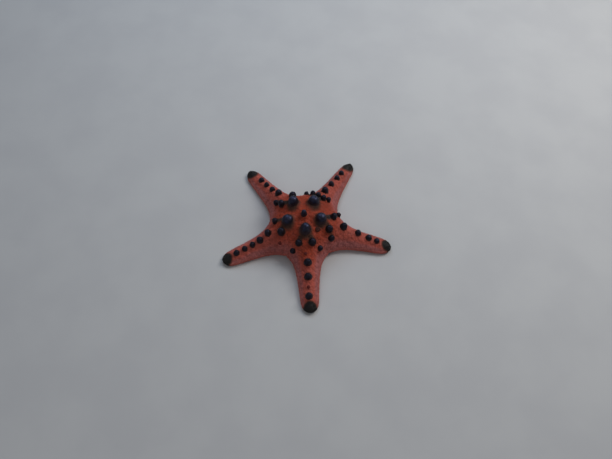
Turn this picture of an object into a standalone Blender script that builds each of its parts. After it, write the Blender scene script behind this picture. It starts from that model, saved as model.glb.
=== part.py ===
"""A horned sea star, life size and still, resting on the flat of its underside.

The disc's centre is first at the world's origin with +X to the right and +Y away from
the near arm, and an empty then brings the middle of the whole star's box over the origin.
One coarse cage makes the whole body. Thin cuts part it into the disc, five arms and five
dark arm tips, and the grooves and the mouth are cut from below. Tubercles and tube feet
are joined to the piece that they grow from, and the six horns stand on low mounds.
"""

import math
import random
from dataclasses import dataclass

import bmesh
import bpy
import numpy as np
from mathutils import Matrix, Vector
from mathutils.bvhtree import BVHTree

MM = 0.001
GAP = 0.3  # mm between pieces that touch
WELD = 0.001  # mm within which points become one
SEED = 11

# Disc, all in mm
NOTCH_RADIUS = 44.2  # centre to the edge between two arms
EDGE_FALL = 0.1  # slope of an arm's side where its rounding into the disc ends
RIDGE_RADII = (0, 10, 20, 32, 45, 61, 73, 84, 95, 104, 110)
RIDGE_HEIGHTS = (38.6, 38.2, 36.0, 31.0, 25.0, 18.4, 14.6, 12.1, 10.6, 9.0, 7.5)
VALLEY_RADII = (0, 10, 20, 30, 43.5, 60, 110)
VALLEY_HEIGHTS = (38.6, 37.6, 33.8, 29.2, 21.0, 12.0, 5.0)
EDGE_RADII = (0, 43, 70, 110)
EDGE_HEIGHTS = (5.4, 5.4, 4.3, 3.4)
SHOULDER_RADII = (0, 43, 61, 93, 110)
SHOULDER_WIDTHS = (14.0, 14.0, 12.0, 9.5, 8.0)

# Arms, for one of STANDARD_LENGTH
STANDARD_LENGTH = 108.0
WIDTH_STATIONS = (35, 45, 61, 78, 93, 110)
HALF_WIDTHS = (16.8, 15.9, 13.8, 12.1, 11.0, 9.6)
END_ROUNDING = 11.6  # length over which an arm's end closes
END_POWER = 2.3
TIP_LENGTH = 12.5  # the dark end

# The cage's rows, as shares, and its columns across, from the middle line to the edge
DISC_ROWS = (0.17, 0.38, 0.60, 0.80, 0.93)
UNDER_ROWS = (0.36, 0.72)
ARM_ROWS = (0.0, 0.06, 0.15, 0.28, 0.44, 0.61, 0.77, 0.89, 0.96, 0.997)
TOP_COLUMNS = (0.0, 0.42, 0.78, 1.0)
SOLE_SHARE = 0.84  # the flat's half-width over the arm's
SOLE_DEPTH = 0.6  # of the cage under the floor, where the flats are then cut
END_LIFT = 1.2  # how far an arm's very end is clear of the floor

# Underside
GROOVE_HALF_WIDTHS = (3.4, 1.7)  # at the mouth and at the arm's end
GROOVE_DEPTHS = (4.6, 2.2)
GROOVE_STATIONS = ((0.0, 1.0), (0.4, 1.0), (0.75, 1.0), (0.93, 0.9), (1.0, 0.35))  # share of length, of size
GROOVE_END = 5.0  # left closed before the arm's end
GROOVE_ROOF_SHARE = 0.55
GROOVE_SPRING = 0.5  # share of the depth where its roof starts to close
CUT_DEPTH = 3.0  # of a cutter under the floor
MOUTH_RADIUS = 6.0
MOUTH_DEPTH = 5.4
MOUTH_ROOF_SHARE = 0.86
LIP_SHARE = 0.76
LIP_HEIGHT = 2.2
LIP_DIMPLE = 3.6
LIP_STATIONS = (0.25, 0.5, 0.8)  # dimple's edge and the lip's inner and outer edge, as shares
LIP_ROUNDING = 0.8
FOOT_RADIUS = 0.9
FOOT_TAPER = 0.35  # how much thinner the last feet are than the first
FOOT_PITCH = 9.2
FOOT_FIRST = 11.0
FOOT_LAST = 4.0  # before the groove's end
FOOT_ASIDE = 0.48  # share of the groove's half-width
FOOT_SIDES = 5
FOOT_TOP = 0.9  # its radius at the root over the sucker's
FOOT_WAIST = (0.65, 1.1)  # that radius share, and how far above the sucker's end
FOOT_RIM = 0.35
FOOT_ROOT = 1.4
FOOT_CLEARANCE = 0.5  # of the sucker over the floor
FOOT_SWING = 0.12
FOOT_SHIFT = 0.6

# Boxes that part the body
BLOCK_HALF_WIDTH = 26.0
BLOCK_HALF_HEIGHT = 60.0
BLOCK_REACH = 12.0
GROUND_REACH = 130.0

# Horns and tubercles. A profile's pairs are shares of radius and height
HORN_SIDES = 12
HORN_PROFILE = ((1.0, 0.0), (0.96, 0.24), (0.86, 0.55), (0.66, 0.82), (0.38, 0.96))
MOUND_HEIGHT = 2.2
MOUND_FLARE = 1.4  # its foot's radius over the horn's
MOUND_TOP = 1.04
MOUND_SINK = 4.0
KNOB_SIDES = 8
KNOB_PROFILE = ((1.0, 0.14), (0.74, 0.76))
KNOB_ROOT = 0.9
KNOB_SINK = 2.2
KNOB_LEAN = 0.7  # from upright, 0, to the skin's own direction, 1
CENTRE_HORN = (3.5, 8.4)  # radius and height
CENTRE_PLACE = (2.6, 240.0)  # distance from the centre and heading
CENTRE_MOUND = 1.2

# Madreporite
SIEVE_PLACE = (22.6, 308.7)
SIEVE_RADIUS = 2.9
SIEVE_HEIGHT = 1.2
SIEVE_MOUND = 0.7
SIEVE_PROFILE = ((1.0, 0.0), (0.93, 0.55), (0.6, 0.92))


@dataclass(frozen=True)
class Arm:
    """One arm, in mm and degrees. A tubercle is (along, aside, radius, height), aside to the left."""

    name: str
    heading: float
    length: float
    bend: float  # how far its end drifts to the left
    slim: float  # its end's width over the others'
    cut: float  # where it parts from the disc
    row: tuple  # tubercles along its back
    knobs: tuple  # tubercles beyond its horn, on the disc
    horn: tuple  # as a tubercle, and its lean outwards


ARMS = (
    Arm(
        name="right", heading=-14.2, length=103.0, bend=0.0, slim=1.0, cut=39.6,
        row=((44.4, 2.2, 4.3, 7.0), (62.0, 2.4, 3.7, 5.0), (75.1, 1.3, 3.7, 4.5), (85.0, 0.7, 3.2, 4.0)),
        knobs=((29.8, -7.8, 4.5, 6.5), (30.7, 8.6, 4.0, 7.0), (34.2, -14.8, 3.9, 5.0), (34.4, 18.4, 3.1, 4.8)),
        horn=(18.6, -1.5, 6.2, 7.2, 5.0),
    ),
    Arm(
        name="far_right", heading=59.5, length=114.0, bend=0.0, slim=0.82, cut=41.4,
        row=((47.2, 0.6, 4.3, 6.5), (64.0, 1.0, 3.5, 5.0), (78.5, 0.8, 3.3, 4.5), (89.4, 0.6, 3.2, 4.5)),
        knobs=(
            (33.2, -4.6, 3.6, 5.7), (34.0, 9.2, 3.3, 5.4), (36.4, -9.2, 3.2, 5.4),
            (34.3, 18.2, 3.0, 4.8), (32.8, 1.8, 3.6, 5.8),
        ),
        horn=(19.3, 0.1, 6.3, 7.8, 6.0),
    ),
    Arm(
        name="far_left", heading=130.4, length=111.5, bend=-2.2, slim=0.88, cut=44.7,
        row=((50.0, -1.1, 4.1, 6.0), (61.8, -0.7, 3.3, 4.5), (73.6, -0.7, 3.2, 4.5), (84.8, -0.9, 3.5, 4.5)),
        knobs=((31.4, 8.0, 4.3, 7.0), (32.5, -8.2, 4.4, 6.8), (39.8, 9.3, 3.5, 6.0)),
        horn=(20.9, -0.1, 6.1, 8.8, 6.0),
    ),
    Arm(
        name="left", heading=204.45, length=104.0, bend=0.0, slim=1.0, cut=40.8,
        row=(
            (45.2, -1.8, 4.0, 6.5), (56.4, 0.1, 3.9, 5.5), (66.0, 0.3, 3.3, 4.5),
            (75.7, 0.3, 3.2, 4.5), (86.0, 0.4, 3.5, 4.5),
        ),
        knobs=((31.8, 5.7, 4.7, 7.0), (32.2, -10.4, 3.7, 6.0), (37.4, 13.8, 2.1, 2.0)),
        horn=(20.9, -1.3, 6.3, 6.0, 5.0),
    ),
    Arm(
        name="near", heading=273.2, length=107.0, bend=0.0, slim=1.0, cut=42.5,
        row=((53.2, 0.0, 4.3, 6.0), (68.4, -0.4, 4.2, 5.5), (79.8, -0.5, 1.9, 1.6), (90.0, -0.8, 4.0, 4.5)),
        knobs=((32.0, -8.7, 4.0, 5.5), (32.2, 6.2, 4.5, 6.0), (36.8, -15.6, 3.3, 4.5), (36.2, 14.5, 3.3, 4.5)),
        horn=(20.0, -0.7, 5.9, 9.8, 4.0),
    ),
)

COLOURS = {
    "skin": ((0.24, 0.075, 0.06, 1), 0.62),
    "dark": ((0.018, 0.016, 0.018, 1), 0.38),
    "sieve": ((0.35, 0.15, 0.10, 1), 0.7),
    "mouth": ((0.36, 0.20, 0.16, 1), 0.6),
}


def clear_scene():
    for obj in list(bpy.data.objects):
        bpy.data.objects.remove(obj, do_unlink=True)


def new_collection(name):
    collection = bpy.data.collections.new(name)
    bpy.context.scene.collection.children.link(collection)
    return collection


def material(name):
    """The Principled material of one of COLOURS, made once."""
    made = bpy.data.materials.get(name)
    if made:
        return made
    colour, roughness = COLOURS[name]
    made = bpy.data.materials.new(name)
    made.use_nodes = True
    made.diffuse_color = colour
    shader = made.node_tree.nodes["Principled BSDF"]
    shader.inputs["Base Color"].default_value = colour
    shader.inputs["Roughness"].default_value = roughness
    return made


def new_object(name, build, collection, finish=None):
    """An object of the mesh that build makes in a bmesh, in mm."""
    mesh = bpy.data.meshes.new(name)
    shape = bmesh.new()
    build(shape)
    bmesh.ops.scale(shape, vec=(MM, MM, MM), verts=shape.verts)
    shape.to_mesh(mesh)
    shape.free()
    obj = bpy.data.objects.new(name, mesh)
    collection.objects.link(obj)
    if finish:
        mesh.materials.append(material(finish))
    return obj


def bake(obj):
    """Puts the mesh that an object's modifiers make in place of its own."""
    bpy.context.view_layer.update()
    graph = bpy.context.evaluated_depsgraph_get()
    mesh = bpy.data.meshes.new_from_object(obj.evaluated_get(graph))
    old = obj.data
    obj.modifiers.clear()
    obj.data = mesh
    bpy.data.meshes.remove(old)


def islands(shape):
    """The connected pieces of a bmesh, as lists of faces."""
    seen = set()
    found = []
    for first in shape.faces:
        if first in seen:
            continue
        piece, waiting = [], [first]
        seen.add(first)
        while waiting:
            face = waiting.pop()
            piece.append(face)
            for edge in face.edges:
                for other in edge.link_faces:
                    if other not in seen:
                        seen.add(other)
                        waiting.append(other)
        found.append(piece)
    return found


def keep_largest(obj):
    """Leaves only the closed surface with the most faces."""
    shape = bmesh.new()
    shape.from_mesh(obj.data)
    pieces = sorted(islands(shape), key=len)
    extra = [face for piece in pieces[:-1] for face in piece]
    bmesh.ops.delete(shape, geom=extra, context="FACES")
    shape.to_mesh(obj.data)
    shape.free()


def combine(obj, others, operation):
    """Joins a collection's objects to obj, or cuts it by them, and removes them."""
    modifier = obj.modifiers.new(operation.lower(), "BOOLEAN")
    modifier.operation = operation
    modifier.solver = "EXACT"
    modifier.operand_type = "COLLECTION"
    modifier.collection = others
    bake(obj)
    keep_largest(obj)
    for other in list(others.objects):
        bpy.data.objects.remove(other, do_unlink=True)
    bpy.data.collections.remove(others)


def half_gap(index, side):
    """Half the angle between an arm and its neighbour on one side, in radians."""
    other = ARMS[(index + (1 if side > 0 else -1)) % len(ARMS)].heading
    gap = (other - ARMS[index].heading) * (1 if side > 0 else -1)
    return math.radians(gap % 360) / 2


def arm_half_width(index, along, side):
    """From an arm's middle line to its edge, with the rounding into the disc and of the end."""
    arm, angle = ARMS[index], half_gap(index, side)
    scale = STANDARD_LENGTH / arm.length
    notch_along = NOTCH_RADIUS * math.cos(angle)
    extra = NOTCH_RADIUS * math.sin(angle) - np.interp(notch_along * scale, WIDTH_STATIONS, HALF_WIDTHS)
    fall = (1 / math.tan(angle) - EDGE_FALL) / extra
    width = np.interp(along * scale, WIDTH_STATIONS, HALF_WIDTHS)
    width *= np.interp(along, (NOTCH_RADIUS, arm.length), (1, arm.slim))
    width += extra * math.exp(-(along - notch_along) * fall)
    closing = min(max((along - arm.length + END_ROUNDING) / END_ROUNDING, 0), 1)
    return width * math.sqrt(1 - closing**END_POWER)


def top_height(index, along, share, side):
    """Height of the upper side at a share of the way from the middle line to the edge or bisector."""
    angle = half_gap(index, side)
    notch_along = NOTCH_RADIUS * math.cos(angle)
    ridge = np.interp(along * STANDARD_LENGTH / ARMS[index].length, RIDGE_RADII, RIDGE_HEIGHTS)
    if along < notch_along:
        aside = share * along * math.tan(angle)
        inward = NOTCH_RADIUS - along * math.cos(angle) - aside * math.sin(angle)
        radius = along / math.cos(angle)
    else:
        width = arm_half_width(index, along, side)
        slope = width - arm_half_width(index, along + 1, side)
        inward = (1 - share) * width / math.hypot(1, slope)
        radius = along + notch_along * (1 / math.cos(angle) - 1)
    valley = min(np.interp(radius, VALLEY_RADII, VALLEY_HEIGHTS), ridge)
    crown = valley + (ridge - valley) * (1 + math.cos(math.pi * share)) / 2
    edge = np.interp(radius, EDGE_RADII, EDGE_HEIGHTS)
    shoulder = np.interp(radius, SHOULDER_RADII, SHOULDER_WIDTHS)
    short = 1 - min(max(inward / shoulder, 0), 1)
    return edge + (crown - edge) * math.sqrt(1 - short**2)


def place(index, along, aside, height=0.0):
    """World place of a point given along and aside of an arm's middle line, in mm."""
    arm = ARMS[index]
    start = NOTCH_RADIUS
    aside += arm.bend * (max(along - start, 0) / (arm.length - start)) ** 2
    turn = math.radians(arm.heading)
    return Vector((
        along * math.cos(turn) - aside * math.sin(turn),
        along * math.sin(turn) + aside * math.cos(turn),
        height,
    ))


def disc_point(index, row, share, side, under):
    """A cage point on the disc: row and share run from the centre and from the arm's middle line."""
    angle = half_gap(index, side)
    turn = share * angle
    straight = (math.cos(angle) / math.cos(turn)) ** row
    radius = row * NOTCH_RADIUS * straight
    along, aside = radius * math.cos(turn), side * radius * math.sin(turn)
    if share == 0:
        along = sum(row * NOTCH_RADIUS * math.cos(half_gap(index, s)) ** row for s in (1, -1)) / 2
    height = -SOLE_DEPTH if under else top_height(index, along, math.tan(turn) / math.tan(angle), side)
    return place(index, along, aside, height)


def arm_along(index, row, side, share):
    """Distance along an arm of a row of the cage. The middle line takes the mean of both sides."""
    def at(which):
        notch_along = NOTCH_RADIUS * math.cos(half_gap(index, which))
        return notch_along + row * (ARMS[index].length - notch_along)
    mean = (at(1) + at(-1)) / 2
    return mean + (at(side) - mean) * share * (1 - row)


def arm_point(index, row, share, side, under):
    """A cage point on an arm, on its upper side or on its flat."""
    along = arm_along(index, row, side, share)
    width = arm_half_width(index, along, side)
    lift = END_LIFT if row > ARM_ROWS[-3] else -SOLE_DEPTH
    height = lift if under else top_height(index, along, share, side)
    return place(index, along, side * share * width, height)


def body_cage(shape):
    """The whole body: concentric rows on both sides of the disc, then rings along each arm."""
    across = [(share, -1) for share in reversed(TOP_COLUMNS)] + [(share, 1) for share in TOP_COLUMNS[1:]]
    below = [(SOLE_SHARE, 1), (0.0, 1), (SOLE_SHARE, -1)]
    shared = {}

    def vertex(point):
        key = tuple(round(value, 3) for value in point)
        if key not in shared:
            shared[key] = shape.verts.new(point)
        return shared[key]

    def strip(near, far):
        for a, b, c, d in zip(near, near[1:], far[1:], far):
            shape.faces.new((a, b, c, d))

    top_centre = vertex((0, 0, RIDGE_HEIGHTS[0]))
    low_centre = vertex((0, 0, -SOLE_DEPTH))
    for index in range(len(ARMS)):
        rows = [[vertex(disc_point(index, row, *spot, False)) for spot in across] for row in DISC_ROWS]
        rings = []
        for row in ARM_ROWS:
            top = [vertex(arm_point(index, row, *spot, False)) for spot in across]
            sole = [vertex(arm_point(index, row, *spot, True)) for spot in below]
            rings.append(top + sole)
        for a, b in zip(rows[0], rows[0][1:]):
            shape.faces.new((top_centre, b, a))
        for near, far in zip(rows, rows[1:]):
            strip(near[::-1], far[::-1])
        strip(rows[-1][::-1], rings[0][len(across) - 1::-1])
        for near, far in zip(rings, rings[1:]):
            strip(near[::-1] + near[-1:], far[::-1] + far[-1:])
        shape.faces.new(rings[-1])
        full = [(1.0, 1), (SOLE_SHARE, 1), (0.0, 1), (SOLE_SHARE, -1), (1.0, -1)]
        lows = [[vertex(disc_point(index, row, *spot, True)) for spot in full] for row in UNDER_ROWS]
        for a, b in zip(lows[0], lows[0][1:]):
            shape.faces.new((low_centre, b, a))
        strip(lows[0][::-1], lows[1][::-1])
        last = [rings[0][len(across) - 1]] + rings[0][len(across):] + [rings[0][0]]
        strip(lows[1][::-1], last[::-1])
    bmesh.ops.recalc_face_normals(shape, faces=shape.faces)


def turned(profile, sides):
    """Builds a closed turned solid from (radius, height) pairs, the first and the last on the axis."""
    def build(shape):
        line = [shape.verts.new((radius, 0, height)) for radius, height in profile]
        edges = [shape.edges.new(pair) for pair in zip(line, line[1:])]
        bmesh.ops.spin(
            shape, geom=line + edges, cent=(0, 0, 0), axis=(0, 0, 1), angle=math.tau, steps=sides, use_merge=True
        )
        bmesh.ops.remove_doubles(shape, verts=shape.verts, dist=WELD)
        bmesh.ops.recalc_face_normals(shape, faces=shape.faces)
    return build


def block(index, start, end):
    """Builds a box across an arm between two distances from the centre, taller than the body."""
    def build(shape):
        size = Vector((end - start, 2 * BLOCK_HALF_WIDTH, 2 * BLOCK_HALF_HEIGHT))
        bmesh.ops.create_cube(shape, size=1, matrix=Matrix.Diagonal(size).to_4x4())
        turn = Matrix.Rotation(math.radians(ARMS[index].heading), 4, "Z")
        away = Matrix.Translation(((start + end) / 2, 0, 0))
        bmesh.ops.transform(shape, matrix=turn @ away, verts=shape.verts)
    return build


def ground(shape):
    """Builds the slab that cuts the flats at floor level."""
    size = Vector((2 * GROUND_REACH, 2 * GROUND_REACH, CUT_DEPTH))
    bmesh.ops.create_cube(shape, size=1, matrix=Matrix.Diagonal(size).to_4x4())
    bmesh.ops.translate(shape, vec=(0, 0, -CUT_DEPTH / 2), verts=shape.verts)


def groove_size(share):
    """Half-width and depth of a groove at a share of its length."""
    return tuple(first + share * (last - first) for first, last in (GROOVE_HALF_WIDTHS, GROOVE_DEPTHS))


def groove(index):
    """Builds the cutter of one arm's groove, an arched bar that shrinks at its outer end."""
    def build(shape):
        rings = []
        for share, shrink in GROOVE_STATIONS:
            width, depth = (size * shrink for size in groove_size(share))
            along = share * (ARMS[index].length - GROOVE_END)
            half = ((width, -CUT_DEPTH), (width, GROOVE_SPRING * depth), (width * GROOVE_ROOF_SHARE, depth))
            section = half + tuple((-aside, height) for aside, height in reversed(half))
            rings.append([shape.verts.new(place(index, along, *corner)) for corner in section])
        for near, far in zip(rings, rings[1:]):
            for k in range(len(near)):
                shape.faces.new((near[k], far[k], far[k - 1], near[k - 1]))
        shape.faces.new(rings[0])
        shape.faces.new(rings[-1])
        bmesh.ops.recalc_face_normals(shape, faces=shape.faces)
    return build


class Skin:
    """The body's upper side, which tells where it is and how steep under a point."""

    def __init__(self, body):
        shape = bmesh.new()
        shape.from_mesh(body.data)
        self.tree = BVHTree.FromBMesh(shape)
        shape.free()

    def under(self, place_above):
        """Point and outward direction of the skin straight below a place in mm."""
        above = Vector((place_above.x, place_above.y, BLOCK_HALF_HEIGHT)) * MM
        found, normal, _, _ = self.tree.ray_cast(above, Vector((0, 0, -1)))
        return found / MM, normal


def around(distance, heading):
    """A place on the disc by distance from the centre and heading in degrees."""
    turn = math.radians(heading)
    return Vector((distance * math.cos(turn), distance * math.sin(turn), 0))


def stand(obj, point, axis, spin=0.0):
    """Puts an object's foot at a point in mm and its own Z along an axis."""
    turn = axis.to_track_quat("Z", "Y").to_matrix().to_4x4()
    obj.matrix_world = Matrix.Translation(point * MM) @ turn @ Matrix.Rotation(spin, 4, "Z")


def add_mound(point, axis, radius, height, others):
    """A low cone, sunk in the disc, whose flat top carries a horn or a plate. Gives the top's middle."""
    foot = radius * MOUND_FLARE
    profile = ((0, -MOUND_SINK), (foot, -MOUND_SINK), (radius * MOUND_TOP, height), (0, height))
    mound = new_object("mound", turned(profile, HORN_SIDES), others)
    stand(mound, point, axis)
    return point + axis * height


def add_turned_node(name, shares, radius, height, foot, axis, star, finish):
    """A piece of its own turned from a profile, standing just clear of its mound."""
    line = [(0, height)] + [(share * radius, part * height) for share, part in reversed(shares)] + [(0, 0)]

    def build(shape):
        points = [shape.verts.new((across, 0, up)) for across, up in line]
        for pair in zip(points, points[1:]):
            shape.edges.new(pair)

    node = new_object(name, build, star, finish)
    screw = node.modifiers.new("turn", "SCREW")
    screw.steps = screw.render_steps = HORN_SIDES
    screw.use_merge_vertices = True
    screw.merge_threshold = WELD * MM
    stand(node, foot + axis * GAP, axis)


def add_knob(skin, index, along, aside, radius, height, others, rng):
    """A tubercle on the skin, leaning from upright towards the skin's own direction."""
    point, normal = skin.under(place(index, along, aside))
    axis = (normal * KNOB_LEAN + Vector((0, 0, 1 - KNOB_LEAN))).normalized()
    profile = [(0, -KNOB_SINK), (radius * KNOB_ROOT, -KNOB_SINK)]
    profile += [(share * radius, part * height) for share, part in KNOB_PROFILE]
    knob = new_object("knob", turned(profile + [(0, height)], KNOB_SIDES), others)
    stand(knob, point, axis, rng.uniform(0, math.tau))


def add_foot(index, along, side, others, rng):
    """One tube foot, from the roof of the groove down to its sucker, in mm."""
    share = along / (ARMS[index].length - GROOVE_END)
    width, depth = groove_size(share)
    radius = FOOT_RADIUS * (1 - FOOT_TAPER * share)
    drop = depth + FOOT_ROOT - FOOT_CLEARANCE
    waist, above = FOOT_WAIST
    profile = (
        (0, 0), (FOOT_TOP * radius, 0), (waist * radius, drop - above), (radius, drop - FOOT_RIM), (0, drop),
    )
    foot = new_object("foot", turned(profile, FOOT_SIDES), others)
    swing = Vector((rng.uniform(-FOOT_SWING, FOOT_SWING), rng.uniform(-FOOT_SWING, FOOT_SWING), -1))
    shifted = along + rng.uniform(-FOOT_SHIFT, FOOT_SHIFT)
    root = place(index, shifted, side * width * FOOT_ASIDE, depth + FOOT_ROOT)
    stand(foot, root, swing.normalized())


def add_growth(index, start, end, skin, others, rng):
    """The tubercles and tube feet of one arm that grow between two distances from the centre."""
    arm = ARMS[index]
    for along, *size in arm.row + arm.knobs:
        if start < along < end:
            add_knob(skin, index, along, *size, others, rng)
    last = arm.length - GROOVE_END - FOOT_LAST
    for along in np.linspace(FOOT_FIRST, last, round((last - FOOT_FIRST) / FOOT_PITCH) + 1):
        margin = FOOT_RADIUS + FOOT_SHIFT
        if start + margin < along < end - margin:
            for side in (1, -1):
                add_foot(index, along, side, others, rng)


def copy_of(obj, name, collection):
    """A copy of an object, mesh included, under another name."""
    made = obj.copy()
    made.data = obj.data.copy()
    made.name = name
    collection.objects.link(made)
    return made


def add_arm(index, body, skin, star, rng):
    """An arm and its dark tip, cut from the body, with what grows on them."""
    arm = ARMS[index]
    tip_start = arm.length - TIP_LENGTH
    spans = {
        f"arm_{arm.name}": (arm.cut + GAP / 2, tip_start - GAP / 2),
        f"tip_{arm.name}": (tip_start + GAP / 2, arm.length + BLOCK_REACH),
    }
    for name, (start, end) in spans.items():
        piece = copy_of(body, name, star)
        span = new_collection("span")
        new_object("span", block(index, start, end), span)
        combine(piece, span, "INTERSECT")
        growth = new_collection("growth")
        add_growth(index, start, end, skin, growth, rng)
        combine(piece, growth, "UNION")
        if name.startswith("tip"):
            piece.data.materials.clear()
            piece.data.materials.append(material("dark"))


def add_disc(body, skin, star, rng):
    """The disc with its tubercles, and the horns and the madreporite on their mounds."""
    disc = copy_of(body, "disc", star)
    beyond = new_collection("beyond")
    growth = new_collection("growth")
    for index, arm in enumerate(ARMS):
        new_object("beyond", block(index, arm.cut - GAP / 2, arm.length + BLOCK_REACH), beyond)
        add_growth(index, 0, arm.cut, skin, growth, rng)
        along, aside, radius, height, lean = arm.horn
        axis = (around(math.sin(math.radians(lean)), arm.heading) + Vector((0, 0, 1))).normalized()
        point = skin.under(place(index, along, aside))[0]
        foot = add_mound(point, axis, radius, MOUND_HEIGHT, growth)
        add_turned_node(f"horn_{arm.name}", HORN_PROFILE, radius, height, foot, axis, star, "dark")
    upright = Vector((0, 0, 1))
    foot = add_mound(skin.under(around(*CENTRE_PLACE))[0], upright, CENTRE_HORN[0], CENTRE_MOUND, growth)
    add_turned_node("horn_centre", HORN_PROFILE, *CENTRE_HORN, foot, upright, star, "dark")
    point, normal = skin.under(around(*SIEVE_PLACE))
    foot = add_mound(point, normal, SIEVE_RADIUS, SIEVE_MOUND, growth)
    add_turned_node("madreporite", SIEVE_PROFILE, SIEVE_RADIUS, SIEVE_HEIGHT, foot, normal, star, "sieve")
    combine(disc, beyond, "DIFFERENCE")
    combine(disc, growth, "UNION")


def add_mouth(star):
    """The soft lip round the mouth, just clear of the hollow's roof."""
    roof = MOUTH_DEPTH - GAP
    outer = MOUTH_RADIUS * LIP_SHARE
    dimple, inside, outside = (share * outer for share in LIP_STATIONS)
    profile = (
        (0, LIP_DIMPLE), (dimple, LIP_DIMPLE), (inside, LIP_HEIGHT), (outside, LIP_HEIGHT),
        (outer, LIP_HEIGHT + LIP_ROUNDING), (outer, roof), (0, roof),
    )
    new_object("mouth", turned(profile, HORN_SIDES), star, "mouth")


def add_body(star):
    """The whole body and its skin before anything is cut from it."""
    body = new_object("body", body_cage, star, "skin")
    smooth = body.modifiers.new("smooth", "SUBSURF")
    smooth.levels = smooth.render_levels = 1
    bake(body)
    skin = Skin(body)
    hollows = new_collection("hollows")
    new_object("ground", ground, hollows)
    for index in range(len(ARMS)):
        new_object("groove", groove(index), hollows)
    roof = MOUTH_RADIUS * MOUTH_ROOF_SHARE
    bowl = ((0, -CUT_DEPTH), (MOUTH_RADIUS, -CUT_DEPTH), (MOUTH_RADIUS, 0), (roof, MOUTH_DEPTH), (0, MOUTH_DEPTH))
    new_object("bowl", turned(bowl, 2 * HORN_SIDES), hollows)
    combine(body, hollows, "DIFFERENCE")
    return body, skin


def centre(star):
    """Moves the whole star by an empty, so that the middle of its box stands over the origin."""
    bpy.context.view_layer.update()
    corners = [obj.matrix_world @ Vector(corner) for obj in star.objects for corner in obj.bound_box]
    middle = bpy.data.objects.new("middle", None)
    nodes = list(star.objects)
    star.objects.link(middle)
    for node in nodes:
        node.parent = middle
    middle.location = [-(min(c[k] for c in corners) + max(c[k] for c in corners)) / 2 for k in (0, 1)] + [0]


def main():
    clear_scene()
    rng = random.Random(SEED)
    star = new_collection("horned_sea_star")
    body, skin = add_body(star)
    add_disc(body, skin, star, rng)
    for index in range(len(ARMS)):
        add_arm(index, body, skin, star, rng)
    bpy.data.objects.remove(body, do_unlink=True)
    add_mouth(star)
    centre(star)


main()
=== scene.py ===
"""Looks of a horned sea star, life size, at rest on the flat of its underside.

One skin stands for the disc, the arms and the dark arm ends. It grows from the same named
sizes as the solids and is then raised and hollowed point by point: plates, soft places
between them, mounds under the horns, grooves and the mouth. Horns, tubercles, granules,
tube feet, spines, the sieve plate and the mouth are pieces of their own on that skin.
Lengths are in mm about the star's own centre until a mesh is made. Those of the studio and
of the materials are in metres.
"""

import logging
import math
from collections.abc import Callable
from dataclasses import dataclass, field, fields
from enum import Enum

import bpy
import numpy as np
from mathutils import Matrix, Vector
from mathutils.bvhtree import BVHTree
from mathutils.kdtree import KDTree


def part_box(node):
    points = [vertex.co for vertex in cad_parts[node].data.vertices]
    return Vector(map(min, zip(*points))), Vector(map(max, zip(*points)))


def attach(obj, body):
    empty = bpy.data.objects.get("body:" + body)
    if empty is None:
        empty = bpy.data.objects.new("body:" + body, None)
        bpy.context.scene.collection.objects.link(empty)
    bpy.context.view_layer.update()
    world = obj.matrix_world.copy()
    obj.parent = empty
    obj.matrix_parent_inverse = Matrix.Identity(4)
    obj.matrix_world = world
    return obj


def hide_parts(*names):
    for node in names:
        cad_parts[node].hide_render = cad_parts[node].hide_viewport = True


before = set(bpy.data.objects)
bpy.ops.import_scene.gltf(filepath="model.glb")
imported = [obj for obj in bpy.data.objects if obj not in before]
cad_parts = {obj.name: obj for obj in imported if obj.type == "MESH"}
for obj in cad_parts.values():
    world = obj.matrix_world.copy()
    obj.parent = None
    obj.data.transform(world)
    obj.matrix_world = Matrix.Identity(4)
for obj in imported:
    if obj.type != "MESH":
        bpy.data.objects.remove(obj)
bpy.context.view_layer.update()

log = logging.getLogger("sea_star")

MM = 0.001
BODY = "root"
UV_NAME = "OFBake"
MARKS = "marks"  # how dark, how much of the flank and how much of the disc
RELIEF = "relief"  # how much of a pore, of the sole and of a plate on the margin
GRAIN = "grain"  # a granule's own tone, and how near its crown, which sets its painted light and shade
PATCH = 0.003  # of the flat map, for each granule
CLEARANCE = 0.03  # of the small forms over the floor
SEED = 23
HORN_END = -1  # in place of a tubercle's number
SIDES = (1, -1)  # left and right of an arm's middle line
BUMP_DEPTH = 0.0002

Colour = tuple[float, float, float]
Place = tuple[float, float, float]  # x, y and z
Span = tuple[float, float]  # two ends, or a pair that its comment names
Row = tuple[float, ...]
Rows = tuple[Row, ...]
Face = tuple[int, ...]
Value = float | tuple[float, ...] | bpy.types.NodeSocket


@dataclass(frozen=True)
class Arm:
    """One arm. A tubercle is (along, aside, radius, height), with aside to the left."""

    name: str
    heading: float  # degrees anticlockwise from +X
    length: float
    bend: float  # how far its end lies to the left
    slim: float  # width of its end over the others'
    row: Rows  # tubercles along its back
    knobs: Rows  # tubercles round its root
    horn: Row  # as a tubercle, and how far it leans out in degrees
    bands: Rows  # two tubercles, or HORN_END, that a band joins, and how dark it is
    dark_end: float = 1.0  # its size over the others'
    dark_aside: float = 0.0  # how far its middle lies to the left
    vivid: float = 0.0  # how much of the disc's orange runs along it

    @property
    def turn(self) -> float:
        """Heading in radians."""
        return math.radians(self.heading)


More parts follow.
